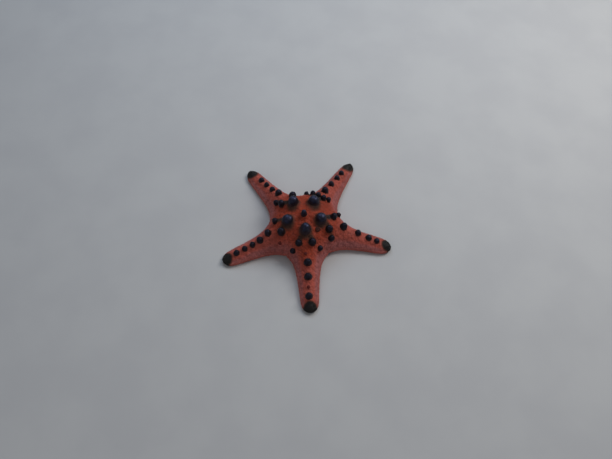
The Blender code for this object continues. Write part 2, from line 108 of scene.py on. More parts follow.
ARMS = (
    Arm(
        "right", -14.2, 103.0, 0.0, 1.0,
        ((44.4, 2.2, 4.3, 7.0), (62.0, 2.4, 3.7, 5.0), (75.1, 1.3, 3.7, 4.5), (85.0, 0.7, 3.2, 4.0)),
        ((29.8, -7.8, 4.5, 6.5), (30.7, 8.6, 4.0, 7.0), (34.2, -14.8, 3.9, 5.0), (34.4, 18.4, 3.1, 4.8)),
        (18.6, -1.5, 6.2, 7.2, 5.0), ((HORN_END, 1, 0.9), (1, 3, 0.9), (HORN_END, 0, 0.8), (0, 2, 0.6)),
        1.0, 1.6,
    ),
    Arm(
        "far_right", 59.5, 114.0, 0.0, 0.82,
        ((47.2, 0.6, 4.3, 6.5), (64.0, 1.0, 3.5, 5.0), (78.5, 0.8, 3.3, 4.5), (89.4, 0.6, 3.2, 4.5)),
        (
            (33.2, -4.6, 3.6, 5.7), (34.0, 9.2, 3.3, 5.4), (36.4, -9.2, 3.2, 5.4),
            (34.3, 18.2, 3.0, 4.8), (32.8, 1.8, 3.6, 5.8),
        ),
        (19.3, 0.1, 6.3, 7.8, 6.0),
        ((HORN_END, 0, 0.9), (0, 2, 0.9), (HORN_END, 4, 0.9), (4, 1, 0.9), (1, 3, 0.9)),
        1.6,
    ),
    Arm(
        "far_left", 130.4, 111.5, -2.2, 0.88,
        ((50.0, -1.1, 4.1, 6.0), (61.8, -0.7, 3.3, 4.5), (73.6, -0.7, 3.2, 4.5), (84.8, -0.9, 3.5, 4.5)),
        ((31.4, 8.0, 4.3, 7.0), (32.5, -8.2, 4.4, 6.8), (39.8, 9.3, 3.5, 6.0)),
        (20.9, -0.1, 6.1, 8.8, 6.0), ((HORN_END, 0, 0.9), (0, 2, 0.9)), 1.45,
    ),
    Arm(
        "left", 204.45, 104.0, 0.0, 1.0,
        (
            (45.2, -1.8, 4.0, 6.5), (56.4, 0.1, 3.9, 5.5), (66.0, 0.3, 3.3, 4.5),
            (75.7, 0.3, 3.2, 4.5), (86.0, 0.4, 3.5, 4.5),
        ),
        ((31.8, 5.7, 4.7, 7.0), (32.2, -10.4, 3.7, 6.0), (37.4, 13.8, 2.1, 2.0)),
        (20.9, -1.3, 6.3, 6.0, 5.0), ((HORN_END, 1, 0.8), (HORN_END, 0, 0.8)),
    ),
    Arm(
        "near", 273.2, 107.0, 0.0, 1.0,
        ((53.2, 0.0, 4.3, 6.0), (68.4, -0.4, 4.2, 5.5), (79.8, -0.5, 1.9, 1.6), (90.0, -0.8, 4.0, 4.5)),
        (
            (32.0, -8.7, 4.0, 5.5), (32.2, 6.2, 4.5, 6.0), (36.8, -15.6, 3.3, 4.5),
            (36.2, 14.5, 3.3, 4.5), (43.9, -1.7, 1.8, 1.2),
        ),
        (20.0, -0.7, 5.9, 9.8, 4.0), ((HORN_END, 0, 0.8), (HORN_END, 1, 0.8)), 1.0, 0.0, 0.85,
    ),
)
FAINT_RADIUS = 2.2  # tubercles under this size stay reddish
CENTRE_HORN = (2.6, 240.0, 3.5, 8.4)  # distance, heading, radius and height
SIEVE_PLACE = (22.6, 308.7)  # distance and heading
VENT_PLACE = (7.5, 60.0)


def smooth(low: float, high: float, values: np.ndarray) -> np.ndarray:
    """Goes from 0 at low to 1 at high with no corner."""
    share = np.clip((values - low) / (high - low), 0, 1)
    return share * share * (3 - 2 * share)


def unit(vectors: np.ndarray) -> np.ndarray:
    """The vectors at length 1."""
    return vectors / np.maximum(np.linalg.norm(vectors, axis=-1, keepdims=True), 1e-9)


def read(data: object, name: str, size: int, kind: type = float) -> np.ndarray:
    """A property of a mesh's elements as an array.

    Args:
        data: The elements.
        name: The property.
        size: How many numbers it has.
        kind: Their kind.

    Returns:
        One row for each element.
    """
    values = np.empty(len(data) * size, np.float32 if kind is float else np.int32)
    data.foreach_get(name, values)
    return values.reshape(-1, size).astype(kind)


def store(mesh: bpy.types.Mesh, name: str, values: np.ndarray) -> None:
    """Keeps a vector for each vertex, which the materials read."""
    made = mesh.attributes.new(name, "FLOAT_VECTOR", "POINT")
    made.data.foreach_set("vector", np.asarray(values, np.float32).ravel())


def around(distance: float, heading: float) -> np.ndarray:
    """A place by distance from the centre and heading in degrees."""
    turn = math.radians(heading)
    return np.array((distance * math.cos(turn), distance * math.sin(turn), 0.0))


def wave(points: np.ndarray, pitch: float, seed: int) -> np.ndarray:
    """A soft wavy pattern over space between about -1 and 1.

    Args:
        points: The points.
        pitch: The usual distance between waves, in mm.
        seed: Which pattern.

    Returns:
        The pattern's value at each point.
    """
    rng = np.random.default_rng(seed)
    total = np.zeros(len(points))
    for _ in range(5):
        direction = unit(rng.normal(size=3))
        length = pitch * rng.uniform(0.7, 1.4)
        total += np.sin(points @ direction * math.tau / length + rng.uniform(0, math.tau))
    return total / 3


def to_segment(points: np.ndarray, start: np.ndarray, end: np.ndarray) -> np.ndarray:
    """Distance of points from a straight stretch.

    Args:
        points: The points.
        start: One end of the stretch.
        end: Its other end.

    Returns:
        The distances.
    """
    line = end - start
    share = np.clip((points - start) @ line / (line @ line), 0, 1)
    return np.linalg.norm(points - start - share[:, None] * line, axis=1)


def spread(tries: np.ndarray, pitch: float, taken: np.ndarray) -> np.ndarray:
    """Of the tries, those that keep a pitch from the taken points and from one another.

    Args:
        tries: Points in the order in which they are tried.
        pitch: The usual distance between neighbours.
        taken: Points that are there already.

    Returns:
        The tries that are kept.
    """
    cells: dict[tuple[int, ...], list[np.ndarray]] = {}
    steps = [(i, j, k) for i in (-1, 0, 1) for j in (-1, 0, 1) for k in (-1, 0, 1)]
    kept = []
    least = (0.82 * pitch) ** 2
    for number, point in enumerate(np.concatenate((taken, tries))):
        cell = tuple(np.floor(point / pitch).astype(int))
        if number >= len(taken):
            beside = [tuple(a + b for a, b in zip(cell, step)) for step in steps]
            near = [other for place in beside for other in cells.get(place, ())]
            if near and ((np.array(near) - point) ** 2).sum(axis=1).min() < least:
                continue
            kept.append(point)
        cells.setdefault(cell, []).append(point)
    return np.array(kept)


def near_seeds(points: np.ndarray, seeds: np.ndarray) -> tuple[np.ndarray, ...]:
    """Distances to the two nearest seeds, and which seed is nearest.

    Args:
        points: The points.
        seeds: The seeds.

    Returns:
        The two distances and the seed's number.
    """
    tree = tree_of(seeds)
    found = [tree.find_n(point, 2) for point in points]
    distances = np.array([[entry[2] for entry in pair] for pair in found])
    return distances[:, 0], distances[:, 1], np.array([pair[0][1] for pair in found])


LOW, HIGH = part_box("mouth")
CENTRE = np.array(((LOW.x + HIGH.x) / 2, (LOW.y + HIGH.y) / 2, 0.0))  # the mouth is the star's middle


def piece(name: str, mesh: bpy.types.Mesh, points: np.ndarray) -> bpy.types.Object:
    """An object of a mesh, its points given in mm, put in its place and tied to the star.

    Args:
        name: Its name.
        mesh: Its mesh.
        points: The points about the star's centre.

    Returns:
        The object.
    """
    mesh.vertices.foreach_set("co", (points * MM + CENTRE).astype(np.float32).ravel())
    mesh.polygons.foreach_set("use_smooth", np.ones(len(mesh.polygons), bool))
    mesh.update()
    made = bpy.data.objects.new(name, mesh)
    bpy.context.scene.collection.objects.link(made)
    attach(made, BODY)
    return made


def tree_of(points: np.ndarray) -> KDTree:
    """The points in a tree that finds the near ones.

    Args:
        points: The points.

    Returns:
        The tree.
    """
    tree = KDTree(len(points))
    for number, point in enumerate(points):
        tree.insert(point, number)
    tree.balance()
    return tree


def settle(points: np.ndarray, pitch: float, gone: np.ndarray | None = None) -> np.ndarray:
    """Takes points in their order where they keep a pitch from those taken before.

    Args:
        points: The points.
        pitch: The least distance between two that are taken.
        gone: Which points are out from the start, if any. It is filled in as points are taken.

    Returns:
        The numbers of the points taken.
    """
    tree = tree_of(points)
    gone = np.zeros(len(points), bool) if gone is None else gone
    taken = []
    for number, point in enumerate(points):
        if not gone[number]:
            taken.append(number)
            for _, other, _ in tree.find_range(point, pitch):
                gone[other] = True
    return np.array(taken)


class Wiring:
    """Adds nodes to a tree and links them, each in one call."""

    def __init__(self, tree: bpy.types.NodeTree) -> None:
        """Keeps the tree."""
        self.tree = tree

    def add(
        self, kind: str, inputs: dict[str | int, Value] | None = None, **settings: object
    ) -> bpy.types.Node:
        """A node with its settings made and its sockets set or linked.

        Args:
            kind: The node's type.
            inputs: A number, colour or other socket for each input.
            settings: What else the node is set to.

        Returns:
            The node.
        """
        node = self.tree.nodes.new(kind)
        for name, value in settings.items():
            setattr(node, name, value)
        for name, value in (inputs or {}).items():
            if isinstance(value, bpy.types.NodeSocket):
                self.tree.links.new(value, node.inputs[name])
            else:
                node.inputs[name].default_value = value
        return node

    def math(
        self, operation: str, first: Value, second: Value = 0.0, third: Value = 0.0
    ) -> bpy.types.NodeSocket:
        """The result of a sum."""
        return self.add("ShaderNodeMath", {0: first, 1: second, 2: third}, operation=operation).outputs[0]

    def sway(self, noise: Value, reach: float, value: Value) -> bpy.types.NodeSocket:
        """A value moved up and down by a noise from 0 to 1."""
        return self.math("MULTIPLY_ADD", self.math("SUBTRACT", noise, 0.5), reach, value)

    def ramp(
        self, value: Value, low: float, high: float, start: float = 0.0, end: float = 1.0
    ) -> bpy.types.NodeSocket:
        """A value brought smoothly from one range to another."""
        inputs = {"Value": value, "From Min": low, "From Max": high, "To Min": start, "To Max": end}
        return self.add("ShaderNodeMapRange", inputs, interpolation_type="SMOOTHSTEP").outputs["Result"]

    def parts(self, vector: bpy.types.NodeSocket) -> bpy.types.NodeOutputs:
        """The three numbers of a vector."""
        return self.add("ShaderNodeSeparateXYZ", {0: vector}).outputs

    def stored(self, name: str) -> bpy.types.NodeSocket:
        """What a mesh keeps under a name."""
        return self.add("ShaderNodeAttribute", attribute_name=name).outputs["Vector"]

    def mix(self, share: Value, first: Value, second: Value, way: str = "MIX") -> bpy.types.NodeSocket:
        """Two colours mixed.

        Args:
            share: How much of the second.
            first: The first colour.
            second: The second colour.
            way: How they mix.

        Returns:
            The mixed colour's socket.
        """
        node = self.add("ShaderNodeMix", {0: share}, data_type="RGBA", blend_type=way)
        for socket, value in ((node.inputs[6], first), (node.inputs[7], second)):
            if isinstance(value, bpy.types.NodeSocket):
                self.tree.links.new(value, socket)
            else:
                socket.default_value = (*value, 1.0)
        return node.outputs[2]

    def noise(self, scale: Value, detail: float = 2.0, roughness: float = 0.5) -> bpy.types.NodeSocket:
        """Soft noise over the star's own space, with a scale per metre.

        Args:
            scale: How many waves a metre has.
            detail: How many finer layers.
            roughness: How strong they are.

        Returns:
            The noise's socket, from 0 to 1.
        """
        place = self.add("ShaderNodeTexCoord").outputs["Object"]
        inputs = {"Vector": place, "Scale": scale, "Detail": detail, "Roughness": roughness}
        return self.add("ShaderNodeTexNoise", inputs).outputs["Fac"]

    def cells(self, scale: float) -> bpy.types.NodeSocket:
        """Distance within cells over the star's own space, with a scale per metre."""
        place = self.add("ShaderNodeTexCoord").outputs["Object"]
        return self.add("ShaderNodeTexVoronoi", {"Vector": place, "Scale": scale}).outputs["Distance"]


def new_group(
    name: str, inputs: dict[str, str], outputs: dict[str, str]
) -> tuple[bpy.types.NodeTree, Wiring, dict[str, bpy.types.NodeSocket], dict[str, bpy.types.NodeSocket]]:
    """A node group with named sockets.

    Args:
        name: The group's name.
        inputs: Each input's name and kind of socket.
        outputs: Each output's name and kind of socket.

    Returns:
        The group, its wiring, its inputs' sockets and its outputs' sockets, by name.
    """
    group = bpy.data.node_groups.new(name, "ShaderNodeTree")
    for way, sockets in (("INPUT", inputs), ("OUTPUT", outputs)):
        for label, kind in sockets.items():
            group.interface.new_socket(name=label, in_out=way, socket_type=f"NodeSocket{kind}")
    wiring = Wiring(group)
    entry, leave = wiring.add("NodeGroupInput"), wiring.add("NodeGroupOutput")
    return group, wiring, {n: entry.outputs[n] for n in inputs}, {n: leave.inputs[n] for n in outputs}


@dataclass(frozen=True)
class Flesh:
    """Colours of the skin, and where each lies."""

    orange: Colour = (0.385, 0.053, 0.021)
    salmon: Colour = (0.52, 0.108, 0.074)
    mauve: Colour = (0.45, 0.142, 0.130)
    edge: Colour = (0.46, 0.108, 0.078)
    pore: Colour = (0.22, 0.040, 0.030)
    sole: Colour = (0.56, 0.36, 0.25)
    dark: Colour = (0.0098, 0.0082, 0.0072)
    # The halo colour fades every dark mark into the skin; round the horns it is also painted shade.
    halo: Colour = (0.085, 0.029, 0.016)
    broad_scale: float = 70.0  # waves or cells in a metre
    fine_scale: float = 420.0
    cell_scale: float = 1500.0
    fray: float = 0.34  # how far the fine noise moves the edge of a dark mark
    dark_span: Span = (0.60, 1.02)
    halo_span: Span = (0.03, 0.80)
    flank_tone: Span = (0.65, 1.35)
    flank_span: Span = (0.1, 0.95)
    disc_span: Span = (0.0, 0.9)
    pore_share: float = 0.26
    edge_share: float = 0.45
    fine_tone: Span = (0.80, 1.18)
    broad_tone: Span = (0.86, 1.14)
    grain_tone: float = 0.13
    crown_tone: Span = (0.26, 0.82)  # painted light and shade: how much brighter a crown is, and the darker tone at its foot, between granules
    roughness: Span = (0.66, 0.50)  # plain, and where it is dark
    unevenness: float = 0.22
    bump: float = 0.35
    specular: float = 0.28

    def group(self) -> bpy.types.NodeTree:
        """The markings as one shared group.

        Returns:
            The group.
        """
        group, wiring, entry, leave = new_group(
            "star_markings", {"Marks": "Vector", "Relief": "Vector", "Grain": "Vector"},
            {"Colour": "Color", "Roughness": "Float", "Height": "Float"},
        )
        marks, relief, grain = (wiring.parts(entry[name]) for name in ("Marks", "Relief", "Grain"))
        broad, fine = wiring.noise(self.broad_scale, 3.0), wiring.noise(self.fine_scale, 3.0, 0.65)
        shifted = wiring.sway(fine, self.fray, marks[0])
        dark, halo = wiring.ramp(shifted, *self.dark_span), wiring.ramp(shifted, *self.halo_span)
        flank = wiring.math("MULTIPLY", marks[1], wiring.ramp(broad, 0.30, 0.70, *self.flank_tone))
        colour = wiring.mix(wiring.ramp(flank, *self.flank_span), self.salmon, self.mauve)
        colour = wiring.mix(wiring.ramp(marks[2], *self.disc_span), colour, self.orange)
        colour = wiring.mix(wiring.math("MULTIPLY", relief[0], self.pore_share), colour, self.pore)
        colour = wiring.mix(wiring.math("MULTIPLY", relief[2], self.edge_share), colour, self.edge)
        tone = wiring.ramp(fine, 0.25, 0.75, *self.fine_tone)
        # Random tones, then painted light on granule crowns and painted shade at their feet.
        for factor in (
            wiring.ramp(broad, 0.25, 0.75, *self.broad_tone),
            wiring.math("MULTIPLY_ADD", grain[0], self.grain_tone, 1.0),
            wiring.math("MULTIPLY_ADD", grain[1], *self.crown_tone),
        ):
            tone = wiring.math("MULTIPLY", tone, factor)
        grey = wiring.add("ShaderNodeCombineColor", {0: tone, 1: tone, 2: tone}).outputs[0]
        colour = wiring.mix(1.0, colour, grey, "MULTIPLY")
        # Round the horns the halo is partly painted shade, not only the skin's own dark.
        for share, other in ((relief[1], self.sole), (halo, self.halo), (dark, self.dark)):
            colour = wiring.mix(share, colour, other)
        rough = wiring.sway(fine, self.unevenness, wiring.ramp(dark, 0.0, 1.0, *self.roughness))
        group.links.new(colour, leave["Colour"])
        group.links.new(rough, leave["Roughness"])
        height = wiring.math("MULTIPLY_ADD", fine, 0.4, wiring.cells(self.cell_scale))
        group.links.new(height, leave["Height"])
        return group


@dataclass(frozen=True)
class Finish:
    """One material of a piece that has no markings from the skin."""

    name: str
    colour: Colour
    second: Colour
    roughness: Span
    pitch: float  # of its mottling, per metre
    bump: float
    bump_scale: float
    specular: float = 0.5
    subsurface: float = 0.0
    sheen: Colour = (1.0, 1.0, 1.0)  # tint of its gloss; a blue tint is a painted reflection of sky light


# Painted reflection: the blue in the gloss of horns and tubercles, and the horn's slightly blue colour, stand
# for reflected sky light.
SKY_GLOSS_TINT = (0.47, 0.52, 1.0)
HORN = Finish(
    "horn", (0.0068, 0.0060, 0.0088), (0.0135, 0.0105, 0.0115), (0.33, 0.50), 300, 0.14, 1900, 0.54, 0.0, SKY_GLOSS_TINT
)
TUBERCLE = Finish(
    "tubercle", (0.0111, 0.0079, 0.0076), (0.0128, 0.0090, 0.0083), (0.36, 0.52), 300, 0.14, 1900, 0.26, 0.0,
    SKY_GLOSS_TINT,
)
FOOT = Finish("tube_foot", (0.62, 0.36, 0.27), (0.48, 0.20, 0.16), (0.34, 0.50), 700, 0.10, 2600, 0.5, 0.15)
SPINE = Finish("spine", (0.58, 0.36, 0.24), (0.50, 0.24, 0.16), (0.45, 0.62), 500, 0.18, 2400)
LIP = Finish("lip", (0.40, 0.17, 0.13), (0.30, 0.10, 0.08), (0.30, 0.42), 500, 0.15, 1500, 0.5, 0.1)
SIEVE = Finish("sieve", (0.080, 0.019, 0.013), (0.046, 0.013, 0.009), (0.60, 0.78), 800, 0.2, 2600, 0.22)
FLOOR = Finish("floor", (0.58, 0.575, 0.57), (0.55, 0.545, 0.545), (0.85, 0.95), 14, 0.05, 900, 0.2)


@dataclass(frozen=True)
class HornFade:
    """How a dark finish changes at a horn's foot, and all over a faint tubercle."""

    foot: Colour = (0.052, 0.025, 0.017)
    foot_span: Span = (0.02, 0.46)  # share of the height
    foot_share: float = 0.85
    foot_roughness: Span = (0.72, 0.3)  # at the foot, and above dull_top
    dull_top: float = 0.6
    noise_scale: float = 260.0
    noise_reach: float = 0.5
    faint: Colour = (0.125, 0.022, 0.013)
    faint_share: float = 0.92
    faint_roughness: float = 0.85

    def group(self) -> bpy.types.NodeTree:
        """The fade as one shared group.

        Returns:
            The group.
        """
        group, wiring, entry, leave = new_group(
            "horn_fade", {"Colour": "Color", "Roughness": "Float", "Marks": "Vector"},
            {"Colour": "Color", "Roughness": "Float"},
        )
        faint, up, _ = wiring.parts(entry["Marks"])
        height = wiring.sway(wiring.noise(self.noise_scale, 3.0), self.noise_reach, up)
        foot = wiring.ramp(height, *self.foot_span, self.foot_share, 0.0)
        colour = wiring.mix(foot, entry["Colour"], self.foot)
        colour = wiring.mix(wiring.ramp(faint, 0.0, 1.0, 0.0, self.faint_share), colour, self.faint)
        rough = entry["Roughness"]
        for least in (
            wiring.ramp(height, 0.0, self.dull_top, *self.foot_roughness),
            wiring.ramp(faint, 0.0, 1.0, 0.0, self.faint_roughness),
        ):
            rough = wiring.math("MAXIMUM", rough, least)
        group.links.new(colour, leave["Colour"])
        group.links.new(rough, leave["Roughness"])
        return group


class Slot(Enum):
    """Names of material slots that each fitting holds; dressing does not use them."""

    SKIN = "skin"
    HORN = "horn"
    SIEVE_PLATE = "sieve_plate"
    MOUTH = "mouth"


class Wardrobe:
    """Makes each material once and dresses pieces in it."""

    def __init__(self) -> None:
        """Makes the shared groups and the skin's material."""
        self.surface = self.surface_group()
        self.fade = HornFade().group()
        self.flesh = self.skin_material(Flesh())

    @staticmethod
    def surface_group() -> bpy.types.NodeTree:
        """Mottling, uneven gloss and fine relief that every plain finish shares.

        Returns:
            The group.
        """
        group, wiring, entry, leave = new_group(
            "mottled_surface",
            {
                "First": "Color", "Second": "Color", "Pitch": "Float", "Bump Scale": "Float",
                "Low": "Float", "High": "Float",
            },
            {"Colour": "Color", "Roughness": "Float", "Height": "Float"},
        )
        broad, fine = wiring.noise(entry["Pitch"], 3.0), wiring.noise(entry["Bump Scale"], 3.0)
        share = wiring.ramp(broad, 0.32, 0.68)
        span = wiring.math("SUBTRACT", entry["High"], entry["Low"])
        group.links.new(wiring.mix(share, entry["First"], entry["Second"]), leave["Colour"])
        group.links.new(wiring.math("MULTIPLY_ADD", share, span, entry["Low"]), leave["Roughness"])
        group.links.new(fine, leave["Height"])
        return group

    @staticmethod
    def material(name: str) -> tuple[bpy.types.Material, Wiring, bpy.types.Node]:
        """A new material.

        Args:
            name: Its name.

        Returns:
            The material, its wiring and its shader.
        """
        made = bpy.data.materials.new(name)
        made.use_nodes = True
        return made, Wiring(made.node_tree), made.node_tree.nodes["Principled BSDF"]

    @staticmethod
    def join(
        wiring: Wiring, shader: bpy.types.Node, group: bpy.types.NodeTree, inputs: dict[str, Value],
        bump: float,
    ) -> None:
        """Feeds a group's colour, roughness and relief to a shader.

        Args:
            wiring: The material's wiring.
            shader: The shader.
            group: The group.
            inputs: A number, colour or socket for each of the group's inputs.
            bump: How strong the relief is.
        """
        links = wiring.tree.links
        outputs = wiring.add("ShaderNodeGroup", inputs, node_tree=group).outputs
        links.new(outputs["Colour"], shader.inputs["Base Color"])
        links.new(outputs["Roughness"], shader.inputs["Roughness"])
        relief = {"Height": outputs["Height"], "Strength": bump, "Distance": BUMP_DEPTH}
        node = wiring.add("ShaderNodeBump", relief)
        links.new(node.outputs["Normal"], shader.inputs["Normal"])

    def skin_material(self, flesh: Flesh) -> bpy.types.Material:
        """The skin's material, which its granules share.

        Args:
            flesh: The skin's colours.

        Returns:
            The material.
        """
        group = flesh.group()
        made, wiring, shader = self.material("star_skin")
        stored = {"Marks": MARKS, "Relief": RELIEF, "Grain": GRAIN}
        inputs = {label: wiring.stored(name) for label, name in stored.items()}
        self.join(wiring, shader, group, inputs, flesh.bump)
        shader.inputs["Specular IOR Level"].default_value = flesh.specular
        return made

    def plain(self, finish: Finish) -> bpy.types.Material:
        """The material of a plain finish.

        Args:
            finish: The finish.

        Returns:
            The material.
        """
        made, wiring, shader = self.material(finish.name)
        inputs = {
            "First": (*finish.colour, 1.0), "Second": (*finish.second, 1.0), "Pitch": finish.pitch,
            "Bump Scale": finish.bump_scale, "Low": finish.roughness[0], "High": finish.roughness[1],
        }
        self.join(wiring, shader, self.surface, inputs, finish.bump)
        shader.inputs["Specular IOR Level"].default_value = finish.specular
        shader.inputs["Specular Tint"].default_value = (*finish.sheen, 1.0)
        if finish.subsurface:
            shader.inputs["Subsurface Weight"].default_value = finish.subsurface
            shader.inputs["Subsurface Scale"].default_value = 0.002
        return made

    def horn(self, finish: Finish) -> bpy.types.Material:
        """A dark finish that turns brown and dull at the foot, and red brown where a tubercle is faint.

        Args:
            finish: The finish.

        Returns:
            The material.
        """
        made = self.plain(finish)
        wiring, shader = Wiring(made.node_tree), made.node_tree.nodes["Principled BSDF"]
        sockets = {"Colour": shader.inputs["Base Color"], "Roughness": shader.inputs["Roughness"]}
        inputs = {name: socket.links[0].from_socket for name, socket in sockets.items()}
        inputs["Marks"] = wiring.stored(MARKS)
        outputs = wiring.add("ShaderNodeGroup", inputs, node_tree=self.fade).outputs
        for name, socket in sockets.items():
            wiring.tree.links.new(outputs[name], socket)
        return made

    @staticmethod
    def dress(pieces: list[bpy.types.Object], material: bpy.types.Material, slot: Slot) -> None:
        """Gives pieces their material.

        Args:
            pieces: The pieces.
            material: Their material.
            slot: Not used.
        """
        for made in pieces:
            made.data.materials.clear()
            made.data.materials.append(material)


@dataclass
class StarForm:
    """The body's form before its fine relief, from the sizes that the solids have."""

    notch_radius: float = 44.2
    edge_fall: float = 0.1
    ridge: Rows = (  # distances from the centre and the height at each, as in the next three
        (0, 10, 20, 32, 45, 61, 73, 84, 95, 104, 110),
        (38.6, 38.2, 36.0, 31.0, 25.0, 18.4, 14.6, 12.1, 10.6, 9.0, 7.5),
    )
    valley: Rows = ((0, 10, 20, 30, 43.5, 60, 110), (38.6, 37.6, 33.8, 29.2, 21.0, 12.0, 5.0))
    edge: Rows = ((0, 43, 70, 110), (5.4, 5.4, 4.3, 3.4))
    shoulder: Rows = ((0, 43, 61, 93, 110), (14.0, 14.0, 12.0, 9.5, 8.0))
    widths: Rows = ((35, 45, 61, 78, 93, 110), (16.8, 15.9, 13.8, 12.1, 11.0, 9.6))
    standard_length: float = 108.0  # of the arm that the rows above are for
    end_rounding: float = 11.6
    end_power: float = 2.3
    disc_rows: Row = (0.17, 0.38, 0.60, 0.80, 0.93)
    under_rows: Row = (0.36, 0.72)
    arm_rows: Row = (0.0, 0.06, 0.15, 0.28, 0.44, 0.61, 0.77, 0.89, 0.96, 0.997)
    top_columns: Row = (0.0, 0.42, 0.78, 1.0)
    sole_share: float = 0.84
    sole_depth: float = 0.6
    end_lift: float = 1.2
    map_disc: float = 0.41  # how far out the disc reaches on the flat map
    map_arm: float = 0.57  # how much further the arms reach
    map_gap: float = 0.006  # half the gap between two arms
    map_top: float = 0.6  # share of an arm's strip for its upper side
    map_seam: float = 0.004  # between its upper side and its underside
    map_cap: Span = (0.985, 0.01)  # where its end lies, and its radius

    def half_gap(self, index: int, side: int) -> float:
        """Half the angle between an arm and its neighbour on one side, in radians.

        Args:
            index: The arm's number.
            side: 1 for the neighbour to the left, -1 to the right.

        Returns:
            The angle.
        """
        other = ARMS[(index + (1 if side > 0 else -1)) % len(ARMS)].heading
        gap = (other - ARMS[index].heading) * (1 if side > 0 else -1)
        return math.radians(gap % 360) / 2

    def notch_along(self, index: int, side: int) -> float:
        """How far along an arm's middle line the notch on one side of it lies."""
        return self.notch_radius * math.cos(self.half_gap(index, side))

    def half_width(self, index: int, along: float, side: int) -> float:
        """From an arm's middle line to its edge, with the rounding into the disc and of the end.

        Args:
            index: The arm's number.
            along: How far out, in mm.
            side: 1 for the left edge, -1 for the right.

        Returns:
            The width in mm.
        """
        arm, angle = ARMS[index], self.half_gap(index, side)
        scale = self.standard_length / arm.length
        notch_along = self.notch_along(index, side)
        extra = self.notch_radius * math.sin(angle) - np.interp(notch_along * scale, *self.widths)
        fall = (1 / math.tan(angle) - self.edge_fall) / extra
        width = np.interp(along * scale, *self.widths)
        width *= np.interp(along, (self.notch_radius, arm.length), (1, arm.slim))
        width += extra * math.exp(-(along - notch_along) * fall)
        closing = min(max((along - arm.length + self.end_rounding) / self.end_rounding, 0), 1)
        return width * math.sqrt(1 - closing**self.end_power)

    def top_height(self, index: int, along: float, share: float, side: int) -> float:
        """Height of the upper side at a share of the way from the middle line to the edge.

        Args:
            index: The arm's number.
            along: How far out, in mm.
            share: 0 on the middle line, 1 on the edge.
            side: 1 for the left half, -1 for the right.

        Returns:
            The height in mm.
        """
        angle = self.half_gap(index, side)
        notch_along = self.notch_along(index, side)
        ridge = np.interp(along * self.standard_length / ARMS[index].length, *self.ridge)
        if along < notch_along:
            aside = share * along * math.tan(angle)
            inward = self.notch_radius - along * math.cos(angle) - aside * math.sin(angle)
            radius = along / math.cos(angle)
        else:
            width = self.half_width(index, along, side)
            slope = width - self.half_width(index, along + 1, side)
            inward = (1 - share) * width / math.hypot(1, slope)
            radius = along + notch_along * (1 / math.cos(angle) - 1)
        valley = min(np.interp(radius, *self.valley), ridge)
        crown = valley + (ridge - valley) * (1 + math.cos(math.pi * share)) / 2
        edge = np.interp(radius, *self.edge)
        short = 1 - min(max(inward / np.interp(radius, *self.shoulder), 0), 1)
        return edge + (crown - edge) * math.sqrt(1 - short**2)

    def drift(self, index: int, along: np.ndarray) -> np.ndarray:
        """How far an arm's middle line lies to the left at a distance from the centre.

        Args:
            index: The arm's number.
            along: Distances, in mm.

        Returns:
            The shift in mm at each.
        """
        arm = ARMS[index]
        beyond = np.maximum(np.asarray(along, float) - self.notch_radius, 0)
        return arm.bend * (beyond / (arm.length - self.notch_radius)) ** 2

    def place(
        self, index: int, along: np.ndarray, aside: np.ndarray, height: np.ndarray = 0.0
    ) -> np.ndarray:
        """Points given along and aside of an arm's middle line.

        Args:
            index: The arm's number.
            along: How far out each lies.
            aside: How far to the left each lies.
            height: How high each lies.

        Returns:
            The points about the star's centre.
        """
        aside = np.asarray(aside, float) + self.drift(index, along)
        along, height = np.asarray(along, float), np.asarray(height, float)
        along, aside, height = np.broadcast_arrays(along, aside, height)
        east, north = math.cos(ARMS[index].turn), math.sin(ARMS[index].turn)
        return np.stack((along * east - aside * north, along * north + aside * east, height), axis=-1)

    def disc_point(self, index: int, row: float, share: float, side: int, under: bool) -> np.ndarray:
        """A cage point on the disc, by row from the centre and share from the arm's middle line.

        Args:
            index: The arm's number.
            row: 0 at the centre, 1 at the notch.
            share: 0 on the middle line, 1 on the edge.
            side: 1 for the left half, -1 for the right.
            under: Whether the point is on the underside.

        Returns:
            The point.
        """
        angle = self.half_gap(index, side)
        turn = share * angle
        radius = row * self.notch_radius * (math.cos(angle) / math.cos(turn)) ** row
        along, aside = radius * math.cos(turn), side * radius * math.sin(turn)
        if share == 0:
            gaps = [self.half_gap(index, each) for each in SIDES]
            along = sum(row * self.notch_radius * math.cos(gap) ** row for gap in gaps) / 2
        share = math.tan(turn) / math.tan(angle)
        height = -self.sole_depth if under else self.top_height(index, along, share, side)
        return self.place(index, along, aside, height)

    def arm_point(self, index: int, row: float, share: float, side: int, under: bool) -> np.ndarray:
        """A cage point on an arm, on its upper side or on its flat.

        Args:
            index: The arm's number.
            row: 0 at the notch, 1 at the arm's end.
            share: 0 on the middle line, 1 on the edge.
            side: 1 for the left half, -1 for the right.
            under: Whether the point is on the underside.

        Returns:
            The point.
        """
        length = ARMS[index].length
        starts = {each: self.notch_along(index, each) for each in SIDES}
        reach = {each: start + row * (length - start) for each, start in starts.items()}
        mean = sum(reach.values()) / 2
        along = mean + (reach[side] - mean) * share * (1 - row)
        width = self.half_width(index, along, side)
        lift = self.end_lift if row > self.arm_rows[-3] else -self.sole_depth
        height = lift if under else self.top_height(index, along, share, side)
        return self.place(index, along, side * share * width, height)

